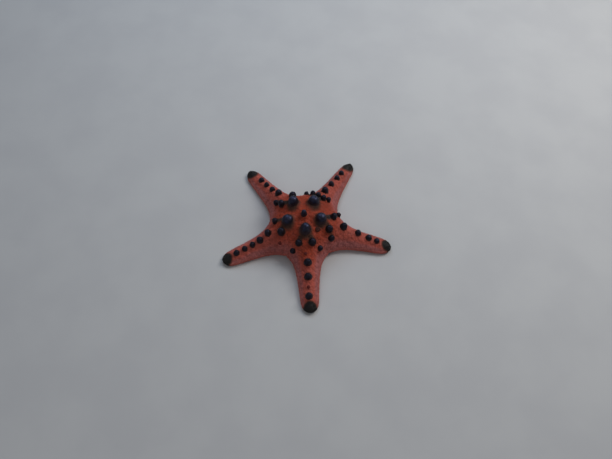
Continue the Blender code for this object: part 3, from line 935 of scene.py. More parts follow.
    def cage(self) -> tuple[np.ndarray, list[Face], list[list[Span]]]:
        """The coarse cage of the whole body.

        Returns:
            Points, faces, and the corner of the flat map that each face corner has. The map
            unrolls every arm from the centre out, its upper side above its underside.
        """
        across = [(share, -1) for share in reversed(self.top_columns)]
        across += [(share, 1) for share in self.top_columns[1:]]
        below = [(1.0, 1), (self.sole_share, 1), (0.0, 1), (self.sole_share, -1), (1.0, -1)]
        points: list[np.ndarray] = []
        faces: list[Face] = []
        corners: list[list[Span]] = []
        shared: dict[Row, int] = {}

        def vertex(point: np.ndarray) -> int:
            """The number of a point, which neighbours share.

            Args:
                point: The point.

            Returns:
                Its number.
            """
            key = tuple(round(float(value), 3) for value in point)
            if key not in shared:
                shared[key] = len(points)
                points.append(point)
            return shared[key]

        def rings(
            maker: Callable[..., np.ndarray], index: int, rows: Row, spots: list[Span], under: bool
        ) -> list[list[int]]:
            """Numbers of the points that a maker gives, row by row."""
            return [[vertex(maker(index, row, *spot, under)) for spot in spots] for row in rows]

        def grid(rows: list[list[int]], reach: list[float], low: float, high: float) -> None:
            """Faces between rows of points, each row one step further out on the map.

            Args:
                rows: Numbers of the points, row by row. The first row may be one point.
                reach: How far out on the map each row is.
                low: Where the rows start across the map.
                high: Where they end.
            """
            for (near, far), (start, end) in zip(zip(rows, rows[1:]), zip(reach, reach[1:])):
                for k in range(len(far) - 1):
                    left, right = (low + (high - low) * j / (len(far) - 1) for j in (k, k + 1))
                    if len(near) == 1:
                        face = [near[0], far[k], far[k + 1]]
                        spots = [(start, (left + right) / 2), (end, left), (end, right)]
                    else:
                        face = [near[k], far[k], far[k + 1], near[k + 1]]
                        spots = [(start, left), (end, left), (end, right), (start, right)]
                    faces.append(tuple(face))
                    corners.append(spots)

        top_centre = vertex(np.array((0, 0, self.ridge[1][0]), float))
        low_centre = vertex(np.array((0, 0, -self.sole_depth)))
        ends = [self.map_disc + self.map_arm * row for row in self.arm_rows]
        cap_out, cap_radius = self.map_cap
        for index in range(len(ARMS)):
            low, step = index / len(ARMS) + self.map_gap, 1 / len(ARMS) - 2 * self.map_gap
            middle = low + self.map_top * step
            discs = rings(self.disc_point, index, self.disc_rows, across, False)
            tops = rings(self.arm_point, index, self.arm_rows, across, False)
            soles = rings(self.arm_point, index, self.arm_rows, below[1:-1], True)
            soles = [[top[-1], *sole, top[0]] for top, sole in zip(tops, soles)]
            lows = rings(self.disc_point, index, self.under_rows, below, True)
            for start, inside, shares, outside, edges in (
                (top_centre, discs, self.disc_rows, tops, (low, middle)),
                (low_centre, lows, self.under_rows, soles, (middle + self.map_seam, low + step)),
            ):
                reach = [0.0, *(self.map_disc * share for share in shares), *ends]
                grid([[start], *inside, *outside], reach, *edges)
            cap = (tops[-1] + soles[-1][1:-1])[::-1]
            turns = [math.tau * k / len(cap) for k in range(len(cap))]
            faces.append(tuple(cap))
            corners.append([
                (cap_out + cap_radius * math.cos(turn), middle + cap_radius * math.sin(turn))
                for turn in turns
            ])
        return np.array(points), faces, corners


@dataclass
class Bump:
    """A horn or a tubercle: where it stands, its axis and its size."""

    point: np.ndarray
    axis: np.ndarray
    radius: float
    height: float
    arm: int
    faint: bool = False

    def away(self, points: np.ndarray) -> tuple[np.ndarray, np.ndarray]:
        """Where points are from its foot.

        Args:
            points: The points.

        Returns:
            Their offsets from the foot, and their distances from the axis.
        """
        offsets = points - self.point
        return offsets, np.linalg.norm(offsets - (offsets @ self.axis)[:, None] * self.axis, axis=1)


class Local:
    """Where many points are by arm: its number, and how far along and aside of its middle line."""

    def __init__(self, form: StarForm, points: np.ndarray) -> None:
        """Finds each point's arm.

        Args:
            form: The body's form.
            points: The points about the star's centre.
        """
        angle = np.degrees(np.arctan2(points[:, 1], points[:, 0]))
        self.index = np.zeros(len(points), int)
        self.along = np.zeros(len(points))
        self.aside = np.zeros(len(points))
        self.width = np.ones(len(points))
        for index, arm in enumerate(ARMS):
            off = (angle - arm.heading + 180) % 360 - 180
            gaps = [math.degrees(form.half_gap(index, side)) for side in SIDES]
            here = (off <= gaps[0]) & (off > -gaps[1])
            east, north = math.cos(arm.turn), math.sin(arm.turn)
            along = points[here, 0] * east + points[here, 1] * north
            aside = points[here, 1] * east - points[here, 0] * north
            aside -= form.drift(index, along)
            stations = np.arange(0, arm.length + 1)
            width = np.zeros(len(along))
            for side in SIDES:
                notch, slope = form.notch_along(index, side), math.tan(form.half_gap(index, side))
                edge = [form.half_width(index, s, side) if s > notch else s * slope for s in stations]
                on = aside * side >= 0
                width[on] = np.interp(along[on], stations, edge)
            self.index[here], self.along[here], self.aside[here] = index, along, aside
            self.width[here] = np.maximum(width, 0.5)
        self.length = np.array([arm.length for arm in ARMS])[self.index]


@dataclass
class Skin:
    """The star's one skin, with its plates, mounds, grooves and mouth in its own surface."""

    form: StarForm
    levels: int = 4
    inset: float = 0.15  # room for the granules that stand on it
    plate_pitch: float = 4.6
    plate_relief: float = 0.42
    plate_crown: float = 0.08
    plate_seam: float = 0.06
    plate_floor: float = 6.5  # plates are scattered above this height
    plate_tries: int = 26000
    pore_span: Span = (0.42, 0.60)  # share of the pitch from a plate's middle
    seam_width: float = 0.75
    margin_pitch: float = 4.3
    margin_relief: float = 0.42
    margin_seam: float = 0.22
    margin_spread: float = 0.62  # half a plate's width over the pitch
    margin_top: float = 9.0
    margin_heights: Span = (1.6, 5.6)
    calm_span: Span = (0.55, 0.95)  # share of an arm's length where the plates grow flat
    calm_most: float = 0.5
    sole_level: float = 0.22
    sole_facing: Span = (-0.75, -0.95)  # how far down the sole looks where it starts and is whole
    under_facing: Span = (-0.2, -0.6)
    horn_mound: Span = (2.6, 2.1)  # height, and foot's radius over the horn's
    knob_mound: Span = (0.9, 1.9)
    mound_start: float = 0.75  # where a mound starts to fall, over the horn's radius
    mound_radius: float = 4.0  # of the bump whose mound has its full height
    mound_depth: float = 7.0  # how far below a bump its mound reaches
    knob_upright: float = 0.3  # how much more upright than the skin's own direction
    vent_rim: Row = (0.35, 1.5, 0.6)  # height, radius and softness
    vent_hole: Span = (0.7, 0.8)  # depth and softness
    groove_widths: Span = (3.4, 1.7)
    groove_depths: Span = (4.6, 2.2)
    groove_close: Rows = ((0.0, 0.75, 0.93, 1.0, 1.01), (1.0, 1.0, 0.9, 0.35, 0.0))
    groove_end: float = 5.0
    groove_wall: Span = (0.72, 1.08)  # share of the half-width where the roof comes down
    groove_sag: float = 0.18
    mouth_radius: float = 6.0
    mouth_depth: float = 5.4
    mouth_wall: Span = (0.80, 1.02)
    ripple: float = 0.16
    ripple_pitches: Span = (9.0, 4.1)
    horn_halo: Span = (0.86, 1.86)  # where the dark round a horn starts to fade and ends: partly its dark foot, partly painted shade round it
    horn_dark: float = 0.79
    near_halo: float = 0.70  # how it is squeezed, to reach further, on the near side, as a painted shadow of the horn
    knob_halo: Span = (0.88, 1.28)
    faint_dark: float = 0.35
    band_reach: Span = (0.40, 1.45)
    band_shift: Place = (0.0, 1.3, 0.0)
    tip_middle: float = 5.2  # of the dark end, back from the arm's end
    tip_radius: float = 6.4
    tip_fade: Span = (1.8, 2.6)  # how far inside and outside of it the dark fades
    tip_squash: float = 0.85
    tip_smooth: float = 5.0  # the last of an arm, where its plates merge into one
    flank_share: Span = (0.30, 0.85)  # of the way to the edge
    flank_radius: Span = (24.0, 50.0)  # from the centre
    flank_height: Span = (1.5, 6.0)
    flank_least: float = 0.35
    disc_radius: Span = (24.0, 54.0)
    vivid_aside: Span = (3.0, 13.0)
    vivid_along: Span = (42.0, 68.0)
    slot: Slot = Slot.SKIN
    mesh: bpy.types.Mesh = field(init=False)
    points: np.ndarray = field(init=False)
    normals: np.ndarray = field(init=False)
    faces: np.ndarray = field(init=False)
    local: Local = field(init=False)
    tree: BVHTree = field(init=False)
    bumps: list[Bump] = field(init=False)
    seeds: np.ndarray = field(init=False)
    on_margin: np.ndarray = field(init=False)
    relief: np.ndarray = field(init=False)
    markings: np.ndarray = field(init=False)

    def build(self) -> list[bpy.types.Object]:
        """Makes the skin's mesh, raises its relief and stores its markings.

        Returns:
            The skin, in a list of its own.
        """
        self.mesh = self.smooth_mesh()
        self.points = read(self.mesh.vertices, "co", 3)
        self.normals = read(self.mesh.vertices, "normal", 3)
        self.faces = read(self.mesh.polygons, "vertices", 4, int)
        self.local = Local(self.form, self.points)
        self.tree = BVHTree.FromPolygons(self.points.tolist(), self.faces.tolist())
        self.bumps = self.find_bumps()
        self.seeds, self.on_margin = self.find_plates()
        self.shape()
        body = piece("skin", self.mesh, self.points)
        self.normals = read(self.mesh.vertices, "normal", 3)
        self.tree = BVHTree.FromPolygons(self.points.tolist(), self.faces.tolist())
        self.markings = self.marks()
        store(self.mesh, MARKS, self.markings)
        store(self.mesh, RELIEF, self.relief)
        arms = [f"{part}_{arm.name}" for arm in ARMS for part in ("arm", "tip")]
        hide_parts("disc", *arms)
        return [body]

    def smooth_mesh(self) -> bpy.types.Mesh:
        """The cage rounded into a fine mesh, its flat map with it.

        Returns:
            The mesh, in mm about the star's centre.
        """
        points, faces, corners = self.form.cage()
        mesh = bpy.data.meshes.new("skin_cage")
        mesh.from_pydata(points.tolist(), [], faces)
        flat = mesh.uv_layers.new(name=UV_NAME)
        flat.data.foreach_set("uv", np.array([spot for face in corners for spot in face]).ravel())
        cage = bpy.data.objects.new("skin_cage", mesh)
        bpy.context.scene.collection.objects.link(cage)
        fine = cage.modifiers.new("fine", "SUBSURF")
        fine.levels = fine.render_levels = self.levels
        fine.use_limit_surface = False
        bpy.context.view_layer.update()
        made = bpy.data.meshes.new_from_object(cage.evaluated_get(bpy.context.evaluated_depsgraph_get()))
        bpy.data.objects.remove(cage, do_unlink=True)
        made.name = "skin"
        return made

    def dress(self, made: list[bpy.types.Object], wardrobe: Wardrobe) -> None:
        """Dresses the skin in its own material."""
        wardrobe.dress(made, wardrobe.flesh, self.slot)

    def under(self, place: np.ndarray) -> tuple[np.ndarray, np.ndarray]:
        """Point and direction of the skin straight below a place."""
        found, normal, _, _ = self.tree.ray_cast(Vector((place[0], place[1], 80)), Vector((0, 0, -1)))
        return np.array(found), np.array(normal)

    def find_bumps(self) -> list[Bump]:
        """Where every horn and tubercle stands, the six horns first.

        Returns:
            The horns arm by arm, the middle one, and the tubercles.
        """
        horns, knobs = [], []
        for index, arm in enumerate(ARMS):
            along, aside, radius, height, lean = arm.horn
            point, _ = self.under(self.form.place(index, along, aside))
            tilt = math.sin(math.radians(lean))
            axis = unit(np.array((tilt * math.cos(arm.turn), tilt * math.sin(arm.turn), 1)))
            horns.append(Bump(point, axis, radius, height, index))
            for along, aside, radius, height in arm.row + arm.knobs:
                point, normal = self.under(self.form.place(index, along, aside))
                axis = unit(normal * (1 - self.knob_upright) + np.array((0, 0, self.knob_upright)))
                knobs.append(Bump(point, axis, radius, height, index, radius < FAINT_RADIUS))
        distance, heading, radius, height = CENTRE_HORN
        point, _ = self.under(around(distance, heading))
        horns.append(Bump(point, np.array((0.0, 0.0, 1.0)), radius, height, len(ARMS)))
        return horns + knobs

    def find_plates(self) -> tuple[np.ndarray, np.ndarray]:
        """Middles of the plates: two even rows along the edge, the rest scattered at one pitch.

        Returns:
            The middles, and which of them are along the edge.
        """
        rows = []
        for index, arm in enumerate(ARMS):
            for side in SIDES:
                stations = np.linspace(self.form.notch_along(index, side), arm.length - 0.3, 400)
                widths = np.array([self.form.half_width(index, s, side) for s in stations])
                line = self.form.place(index, stations, side * widths)
                steps = np.linalg.norm(np.diff(line, axis=0), axis=1)
                run = np.concatenate(((0,), np.cumsum(steps)))
                count = round(run[-1] / self.margin_pitch)
                spots = (np.arange(count) + 0.5) * run[-1] / count
                edge = np.stack([np.interp(spots, run, line[:, k]) for k in range(3)], axis=1)
                for height in self.margin_heights:
                    rows.append(edge + (0, 0, height))
        margin = np.concatenate(rows)
        rng = np.random.default_rng(SEED)
        above = np.nonzero((self.points[:, 2] > self.plate_floor) & (self.normals[:, 2] > 0.05))[0]
        tries = self.points[rng.permutation(above)[:self.plate_tries]]
        kept = spread(tries, self.plate_pitch, margin)
        return np.concatenate((margin, kept)), np.arange(len(margin) + len(kept)) < len(margin)

    def shape(self) -> None:
        """Moves every point of the fine mesh by the relief that it belongs to."""
        points, normals, local = self.points.copy(), self.normals, self.local
        sole = smooth(*self.sole_facing, normals[:, 2]) * (points[:, 2] < 1.0)
        nearest, second, owner = near_seeds(points, self.seeds)
        margin = self.on_margin[owner] & (points[:, 2] < self.margin_top)
        top = 1 - smooth(*self.under_facing, normals[:, 2])
        pore = smooth(*self.pore_span, nearest / self.plate_pitch) * ~margin
        seam = 1 - smooth(0.0, self.seam_width, second - nearest)
        pillow = self.margin_relief * (1 - (nearest / (self.margin_spread * self.margin_pitch)) ** 2)
        edge = np.maximum(pillow, -0.1) - self.margin_seam * seam
        plate = self.plate_crown - self.plate_relief * pore - self.plate_seam * seam
        calm = 1 - self.calm_most * smooth(*self.calm_span, local.along / local.length)
        calm *= 1 - smooth(self.tip_smooth, 2.0, local.length - local.along)
        lift = np.where(margin, edge, plate) * top * calm - self.inset
        long, short = self.ripple_pitches
        lift += self.ripple * (wave(points, long, 3) + 0.5 * wave(points, short, 5)) * top
        points += normals * lift[:, None]
        for number, bump in enumerate(self.bumps):
            height, flare = self.horn_mound if number <= len(ARMS) else self.knob_mound
            height *= min(bump.radius / self.mound_radius, 1.0)
            away, across = bump.away(points)
            near = away @ bump.axis > -self.mound_depth
            rise = height * (1 - smooth(self.mound_start, flare, across / bump.radius)) * near * top
            points += rise[:, None] * bump.axis
        away = np.linalg.norm(points[:, :2] - around(*VENT_PLACE)[:2], axis=1)
        rim, radius, softness = self.vent_rim
        hole, hole_softness = self.vent_hole
        rise = rim * np.exp(-(((away - radius) / softness) ** 2))
        rise -= hole * np.exp(-((away / hole_softness) ** 2))
        points[:, 2] += rise * top
        self.hollow(points, sole)
        self.relief = np.stack((pore * top, sole, margin * top), axis=1)
        self.points = points

    def hollow(self, points: np.ndarray, sole: np.ndarray) -> None:
        """Levels the sole and cuts the five grooves and the mouth into it.

        Args:
            points: The skin's points, which are moved.
            sole: How much each belongs to the sole.
        """
        points[:, 2] = np.maximum(points[:, 2], self.sole_level)
        width, depth = self.groove_at(self.local.index, self.local.along)
        aside = np.abs(self.local.aside)
        wall = 1 - smooth(*self.groove_wall, aside / width)
        roof = depth * wall * (1 - self.groove_sag * (aside / width) ** 2)
        outward = np.hypot(points[:, 0], points[:, 1])
        bowl = self.mouth_depth * (1 - smooth(*self.mouth_wall, outward / self.mouth_radius))
        points[:, 2] += np.maximum(roof, bowl) * (self.normals[:, 2] < -0.5) * (sole > 0)

    def groove_at(self, index: np.ndarray, along: np.ndarray) -> tuple[np.ndarray, np.ndarray]:
        """Half-width and depth of the grooves at distances from the centre.

        Args:
            index: The arm's number of each place.
            along: How far out each place is.

        Returns:
            The half-widths and the depths.
        """
        lengths = np.array([arm.length for arm in ARMS])[index] - self.groove_end
        share = along / lengths
        close = np.interp(share, *self.groove_close)
        width = np.interp(share, (0, 1), self.groove_widths) * np.maximum(close, 0.02)
        return width, np.interp(share, (0, 1), self.groove_depths) * close

    def marks(self) -> np.ndarray:
        """How dark, how far down the flank and how near the middle of the disc the points are.

        Returns:
            Three shares for each point.
        """
        points, normals, local = self.points, self.normals, self.local
        dark = np.zeros(len(points))
        for number, bump in enumerate(self.bumps):
            horn = number < len(ARMS)
            reach = self.horn_halo if horn else self.knob_halo
            away = points - bump.point
            # Round a horn the dark is partly its dark foot and partly painted shade, stretched to the near
            # side as a painted shadow.
            if horn:
                away[:, 1] *= np.where(away[:, 1] < 0, self.near_halo, 1.0)
            away = np.linalg.norm(away, axis=1) / bump.radius
            strength = self.faint_dark if bump.faint else (self.horn_dark if horn else 1.0)
            dark = np.maximum(dark, strength * (1 - smooth(*reach, away)))
        for index, arm in enumerate(ARMS):
            for first, second, strength in arm.bands:
                start, end = self.knob(index, first), self.knob(index, second)
                away = to_segment(points - self.band_shift, start.point, end.point)
                away /= min(start.radius, end.radius)
                dark = np.maximum(dark, strength * (1 - smooth(*self.band_reach, away)))
        size, shift, vivid = (
            np.array([getattr(arm, name) for arm in ARMS])[local.index]
            for name in ("dark_end", "dark_aside", "vivid")
        )
        inner = local.length - self.tip_middle - local.along
        from_end = np.hypot(np.maximum(inner, 0) / size, (local.aside - shift) * self.tip_squash)
        from_end = np.where((inner > 0) | (shift > 0), from_end, 0.0)
        inside, outside = self.tip_fade
        fade = smooth(self.tip_radius - inside, self.tip_radius + outside, from_end)
        dark = np.maximum(dark, 1 - fade)
        outward = np.hypot(points[:, 0], points[:, 1])
        flank = smooth(*self.flank_share, np.abs(local.aside) / local.width)
        flank *= smooth(0.0, 0.25, normals[:, 2] + 0.1) * smooth(*self.flank_radius, outward)
        flank *= self.flank_least + (1 - self.flank_least) * smooth(*self.flank_height, points[:, 2])
        disc = (1 - smooth(*self.disc_radius, outward)) * (1 - 0.7 * flank)
        vivid = vivid * (1 - smooth(*self.vivid_aside, np.abs(local.aside)))
        disc = np.maximum(disc, vivid * (1 - smooth(*self.vivid_along, local.along)))
        return np.stack((dark, flank, disc), axis=1)

    def knob(self, index: int, number: int) -> Bump:
        """One of an arm's tubercles beyond its horn, or its horn.

        Args:
            index: The arm's number.
            number: Its place in the arm's knobs, or HORN_END.

        Returns:
            The tubercle or the horn.
        """
        if number == HORN_END:
            return self.bumps[index]
        mine = [bump for bump in self.bumps[len(ARMS) + 1:] if bump.arm == index]
        return mine[len(ARMS[index].row) + number]


@dataclass(frozen=True)
class Grain:
    """A small turned form: points at radius 1 and height 1, and its faces."""

    points: np.ndarray
    faces: tuple[Face, ...]

    @classmethod
    def turned(cls, profile: Rows, sides: int) -> "Grain":
        """Turns (radius, height) pairs from the foot up about Z.

        Args:
            profile: The pairs. A radius of 0 is one point on the axis.
            sides: How many sides the form has.

        Returns:
            The form, open at its foot unless the profile starts on the axis.
        """
        points: list[Place] = []
        rings: list[list[int]] = []
        for radius, height in profile:
            count = sides if radius else 1
            rings.append(list(range(len(points), len(points) + count)))
            for k in range(count):
                turn = math.tau * k / sides
                points.append((radius * math.cos(turn), radius * math.sin(turn), height))
        faces: list[Face] = []
        for low, high in zip(rings, rings[1:]):
            for k in range(sides):
                after = (k + 1) % sides
                if len(high) == 1:
                    faces.append((low[k], low[after], high[0]))
                elif len(low) == 1:
                    faces.append((low[0], high[after], high[k]))
                else:
                    faces.append((low[k], low[after], high[after], high[k]))
        return cls(np.array(points), tuple(faces))


def rounded(profile: Rows, rounds: int) -> Rows:
    """The profile with its corners cut again and again, its ends kept.

    Args:
        profile: Pairs of radius and height.
        rounds: How often its corners are cut.

    Returns:
        The rounder profile.
    """
    for _ in range(rounds):
        line = [profile[0]]
        for start, end in zip(profile, profile[1:]):
            for share in (0.25, 0.75):
                line.append(tuple(a + share * (b - a) for a, b in zip(start, end)))
        profile = tuple(line[:1] + line[2:-1] + [profile[-1]])
    return profile


BOSS = Grain.turned(((1.0, -0.3), (0.92, 0.42), (0.55, 0.9), (0.0, 1.0)), 7)
BEAD = Grain.turned(((1.0, -0.3), (0.78, 0.68), (0.0, 1.0)), 6)


@dataclass
class Flock:
    """Many copies of one small form, joined into one mesh."""

    grain: Grain
    origins: np.ndarray
    axes: np.ndarray
    radii: np.ndarray
    heights: np.ndarray
    rng: np.random.Generator
    squash: float = 0.0  # how much wider than round a copy may be

    @classmethod
    def on_bumps(
        cls, grain: Grain, bumps: list[Bump], rise: float, rng: np.random.Generator, squash: float
    ) -> "Flock":
        """A copy on each of some bumps, with that bump's axis and size.

        Args:
            grain: The form.
            bumps: The bumps.
            rise: How far up its axis each copy starts.
            rng: The source of the random draws.
            squash: How much wider than round a copy may be.

        Returns:
            The copies.
        """
        names = ("point", "axis", "radius", "height")
        points, axes, radii, heights = (np.array([getattr(bump, name) for bump in bumps]) for name in names)
        return cls(grain, points + axes * rise, axes, radii, heights, rng, squash)

    def points(self) -> np.ndarray:
        """Points of every copy, one row a copy.

        Returns:
            An array of copies, points and coordinates.
        """
        axes = unit(np.asarray(self.axes, float))
        helper = np.where(np.abs(axes[:, 2:]) < 0.9, (0.0, 0.0, 1.0), (1.0, 0.0, 0.0))
        side = unit(np.cross(axes, helper))
        other = np.cross(axes, side)
        spin = self.rng.uniform(0, math.tau, len(axes))[:, None]
        first = side * np.cos(spin) + other * np.sin(spin)
        second = other * np.cos(spin) - side * np.sin(spin)
        wide = 1 + self.squash * self.rng.uniform(-1, 1, len(axes))[:, None]
        radii, up = self.radii[:, None], axes * self.heights[:, None]
        ways = (first * radii * wide, second * radii / wide, up)
        own = self.grain.points
        offsets = sum(own[None, :, k, None] * way[:, None] for k, way in enumerate(ways))
        placed = self.origins[:, None] + offsets
        placed[:, :, 2] = np.maximum(placed[:, :, 2], CLEARANCE)
        return placed

    def build(self, name: str, points: np.ndarray | None = None) -> bpy.types.Object:
        """Joins the copies into one piece.

        Args:
            name: The piece's name.
            points: The copies' points where something has moved them since.

        Returns:
            The piece.
        """
        points = self.points() if points is None else points
        starts = np.arange(len(points)) * len(self.grain.points)
        faces: list[list[int]] = []
        for face in self.grain.faces:
            faces += (starts[:, None] + np.array(face)).tolist()
        mesh = bpy.data.meshes.new(name)
        flat = points.reshape(-1, 3)
        mesh.from_pydata(flat.tolist(), [], faces)
        return piece(name, mesh, flat)

    def mark(
        self, made: bpy.types.Object, marks: np.ndarray, relief: np.ndarray, spots: np.ndarray
    ) -> None:
        """Gives each copy the markings and the place on the flat map of the skin under its root.

        Args:
            made: The piece.
            marks: The skin's marks at each root.
            relief: The skin's relief at each root.
            spots: Each root's place on the flat map.
        """
        count = len(self.grain.points)
        store(made.data, MARKS, np.repeat(marks, count, axis=0))
        store(made.data, RELIEF, np.repeat(relief, count, axis=0))
        around_root = self.grain.points[:, :2] / np.abs(self.grain.points[:, :2]).max() * PATCH / 2
        each = (spots[:, None] + around_root[None]).reshape(-1, 2)
        corners = read(made.data.loops, "vertex_index", 1, int)[:, 0]
        flat = made.data.uv_layers.new(name=UV_NAME)
        flat.data.foreach_set("uv", each[corners].astype(np.float32).ravel())


@dataclass
class Spots:
    """Places spread at random over the skin, each with what the skin has there."""

    points: np.ndarray
    normals: np.ndarray
    marks: np.ndarray
    relief: np.ndarray
    flat: np.ndarray
    arm: np.ndarray

    @classmethod
    def over(cls, skin: Skin, each: int, rng: np.random.Generator) -> "Spots":
        """Takes some places at random on each face of the skin.

        Args:
            skin: The skin.
            each: How many places a face gets.
            rng: The source of the random draws.

        Returns:
            The places, in random order.
        """
        faces = np.repeat(np.arange(len(skin.faces)), each)
        rng.shuffle(faces)
        across, along = rng.uniform(0, 1, (2, len(faces), 1))
        weights = ((1 - across) * (1 - along), across * (1 - along), across * along, (1 - across) * along)
        corners = skin.faces[faces]

        def blend(values: np.ndarray) -> np.ndarray:
            """The corners' values at each place."""
            return sum(weight * values[:, k] for k, weight in enumerate(weights))

        flat = read(skin.mesh.uv_layers[UV_NAME].data, "uv", 2).reshape(-1, 4, 2)[faces]
        points, normals, marks, relief = (
            blend(values[corners]) for values in (skin.points, skin.normals, skin.markings, skin.relief)
        )
        return cls(points, unit(normals), marks, relief, blend(flat), Local(skin.form, points).index)

    def some(self, chosen: np.ndarray) -> "Spots":
        """The chosen places alone."""
        return Spots(*(getattr(self, own.name)[chosen] for own in fields(self)))


@dataclass
class Fitting:
    """What the sub-assemblies on the skin share."""

    skin: Skin
    finish: Finish | None = None  # the skin's own material where there is none
    slot: Slot = Slot.SKIN

    def dress(self, made: list[bpy.types.Object], wardrobe: Wardrobe) -> None:
        """Dresses the pieces in their finish."""
        material = wardrobe.plain(self.finish) if self.finish else wardrobe.flesh
        wardrobe.dress(made, material, self.slot)


@dataclass(frozen=True)
class Layer:
    """One kind of granule: its name, radii, least distance, height and form."""

    name: str
    radii: Span
    pitch: float
    height: float
    grain: Grain


@dataclass
class GranuleCoat(Fitting):
    """The close coat of granules: large ones, small ones in the gaps, and the flat ones of the sole."""

    large: Layer = Layer("top", (0.36, 0.50), 0.84, 0.30, BOSS)
    small: Layer = Layer("fine", (0.18, 0.27), 0.43, 0.19, BEAD)
    sole: Layer = Layer("sole", (0.62, 0.86), 1.50, 0.9 * Skin.sole_level, BOSS)
    gap: float = 0.60  # from a large one's middle to a small one's
    tries: int = 3  # for each face of the skin
    top_least: float = 0.33  # height over the floor of the upper side's lowest
    sole_most: float = 1.4  # height of the sole's highest
    groove_margin: float = 1.12
    mouth_margin: float = 1.05
    pore_shrink: float = 0.25
    squash: float = 0.12
    least_height: float = 0.75  # of a granule, over the usual
    sieve_margin: float = 2.8
    bump_share: float = 0.92
    bump_depth: float = 6.0

    def build(self) -> list[bpy.types.Object]:
        """Sets the granules one kind after the other and joins them arm by arm.

        Returns:
            Three pieces for each arm.
        """
        skin, rng = self.skin, np.random.default_rng(SEED + 10)
        spots = Spots.over(skin, self.tries, rng)
        free = ~self.on_bump(spots.points)
        local = Local(skin.form, spots.points)
        aside = np.abs(local.aside) / skin.groove_at(local.index, local.along)[0]
        outward = np.hypot(spots.points[:, 0], spots.points[:, 1])
        low = (spots.points[:, 2] < self.sole_most) & (aside > self.groove_margin)
        low &= outward > self.mouth_margin * skin.mouth_radius
        sole = spots.some(low & (spots.relief[:, 1] > 0.5))
        top = spots.some(free & (spots.relief[:, 1] < 0.4) & (spots.points[:, 2] > self.top_least))
        sole = sole.some(settle(sole.points, self.sole.pitch))
        large = top.some(settle(top.points, self.large.pitch))
        tree = tree_of(large.points)
        taken = np.array([tree.find(point)[2] < self.gap for point in top.points])
        small = top.some(settle(top.points, self.small.pitch, taken))
        made = []
        for index, arm in enumerate(ARMS):
            for layer, placed in ((self.large, large), (self.small, small), (self.sole, sole)):
                mine = placed.some(placed.arm == index)
                made.append(self.coat(f"granules_{layer.name}_{arm.name}", mine, layer, rng))
        return made

    def coat(self, name: str, spots: Spots, layer: Layer, rng: np.random.Generator) -> bpy.types.Object:
        """One piece of granules.

        Args:
            name: The piece's name.
            spots: Where the granules stand.
            layer: Their kind.
            rng: The source of the random draws.

        Returns:
            The piece.
        """
        count = len(spots.points)
        shrink = 1 - self.pore_shrink * spots.relief[:, 0]
        wide = rng.uniform(*layer.radii, count) * shrink
        tall = layer.height * rng.uniform(self.least_height, 1.0, count) * (2 * shrink - 1)
        flock = Flock(layer.grain, spots.points, spots.normals, wide, tall, rng, self.squash)
        made = flock.build(name)
        flock.mark(made, spots.marks, spots.relief, spots.flat)
        tone = np.repeat(rng.uniform(-1, 1, count), len(layer.grain.points))
        # How high on its granule each point is, for painted light on the crown and painted shade at the foot.
        crown = np.tile(np.clip(layer.grain.points[:, 2], 0, 1), count)
        store(made.data, GRAIN, np.stack((tone, crown, 0 * crown), axis=1))
        return made

    def on_bump(self, points: np.ndarray) -> np.ndarray:
        """Whether points lie under a horn, a tubercle or the sieve plate.

        Args:
            points: The points.

        Returns:
            One answer for each point.
        """
        inside = np.linalg.norm(points[:, :2] - around(*SIEVE_PLACE)[:2], axis=1) < self.sieve_margin
        for bump in self.skin.bumps:
            away, across = bump.away(points)
            inside |= (across < self.bump_share * bump.radius) & (np.abs(away @ bump.axis) < self.bump_depth)
        return inside


@dataclass
class Horns(Fitting):
    """The six dark horns, each standing on its mound."""

    finish: Finish = HORN
    slot: Slot = Slot.HORN
    profile: Rows = (
        (1.12, -0.50), (1.08, -0.12), (1.02, 0.08), (0.98, 0.28), (0.93, 0.44), (0.86, 0.60),
        (0.75, 0.75), (0.58, 0.88), (0.32, 0.97), (0.0, 1.0),
    )
    rounds: int = 3
    sides: int = 72
    rise: float = 2.2  # of the mound that the solids' horns stand on
    centre_rise: float = 1.2
    squash: float = 0.03
    waist: float = 0.35  # share of the height from which the bulges point away
    roughness: float = 0.10
    pitches: Span = (5.5, 2.2)

    @classmethod
    def rise_at(cls, number: int) -> float:
        """How far up its axis a horn starts, by its number."""
        return cls.rise if number < len(ARMS) else cls.centre_rise

    def build(self) -> list[bpy.types.Object]:
        """Makes each horn in place of its solid.

        Returns:
            The six horns.
        """
        grain = Grain.turned(rounded(self.profile, self.rounds), self.sides)
        share = np.clip(grain.points[:, 2], 0, 1)
        long, short = self.pitches
        names = [arm.name for arm in ARMS] + ["centre"]
        made = []
        for number, (bump, name) in enumerate(zip(self.skin.bumps, names)):
            rng = np.random.default_rng(SEED + number)
            flock = Flock.on_bumps(grain, [bump], self.rise_at(number), rng, self.squash)
            points = flock.points()[0]
            outward = unit(points - bump.point - bump.axis * self.waist * bump.height)
            bulge = wave(points, long, number + 40) + 0.5 * wave(points, short, number + 60)
            points += outward * (self.roughness * bulge)[:, None]
            horn = flock.build(f"horn_{name}_fine", points[None])
            store(horn.data, MARKS, np.stack((0 * share, share, 0 * share), axis=1))
            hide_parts(f"horn_{name}")
            made.append(horn)
        return made

    def dress(self, made: list[bpy.types.Object], wardrobe: Wardrobe) -> None:
        """Dresses the horns in their dark finish."""
        wardrobe.dress(made, wardrobe.horn(self.finish), self.slot)


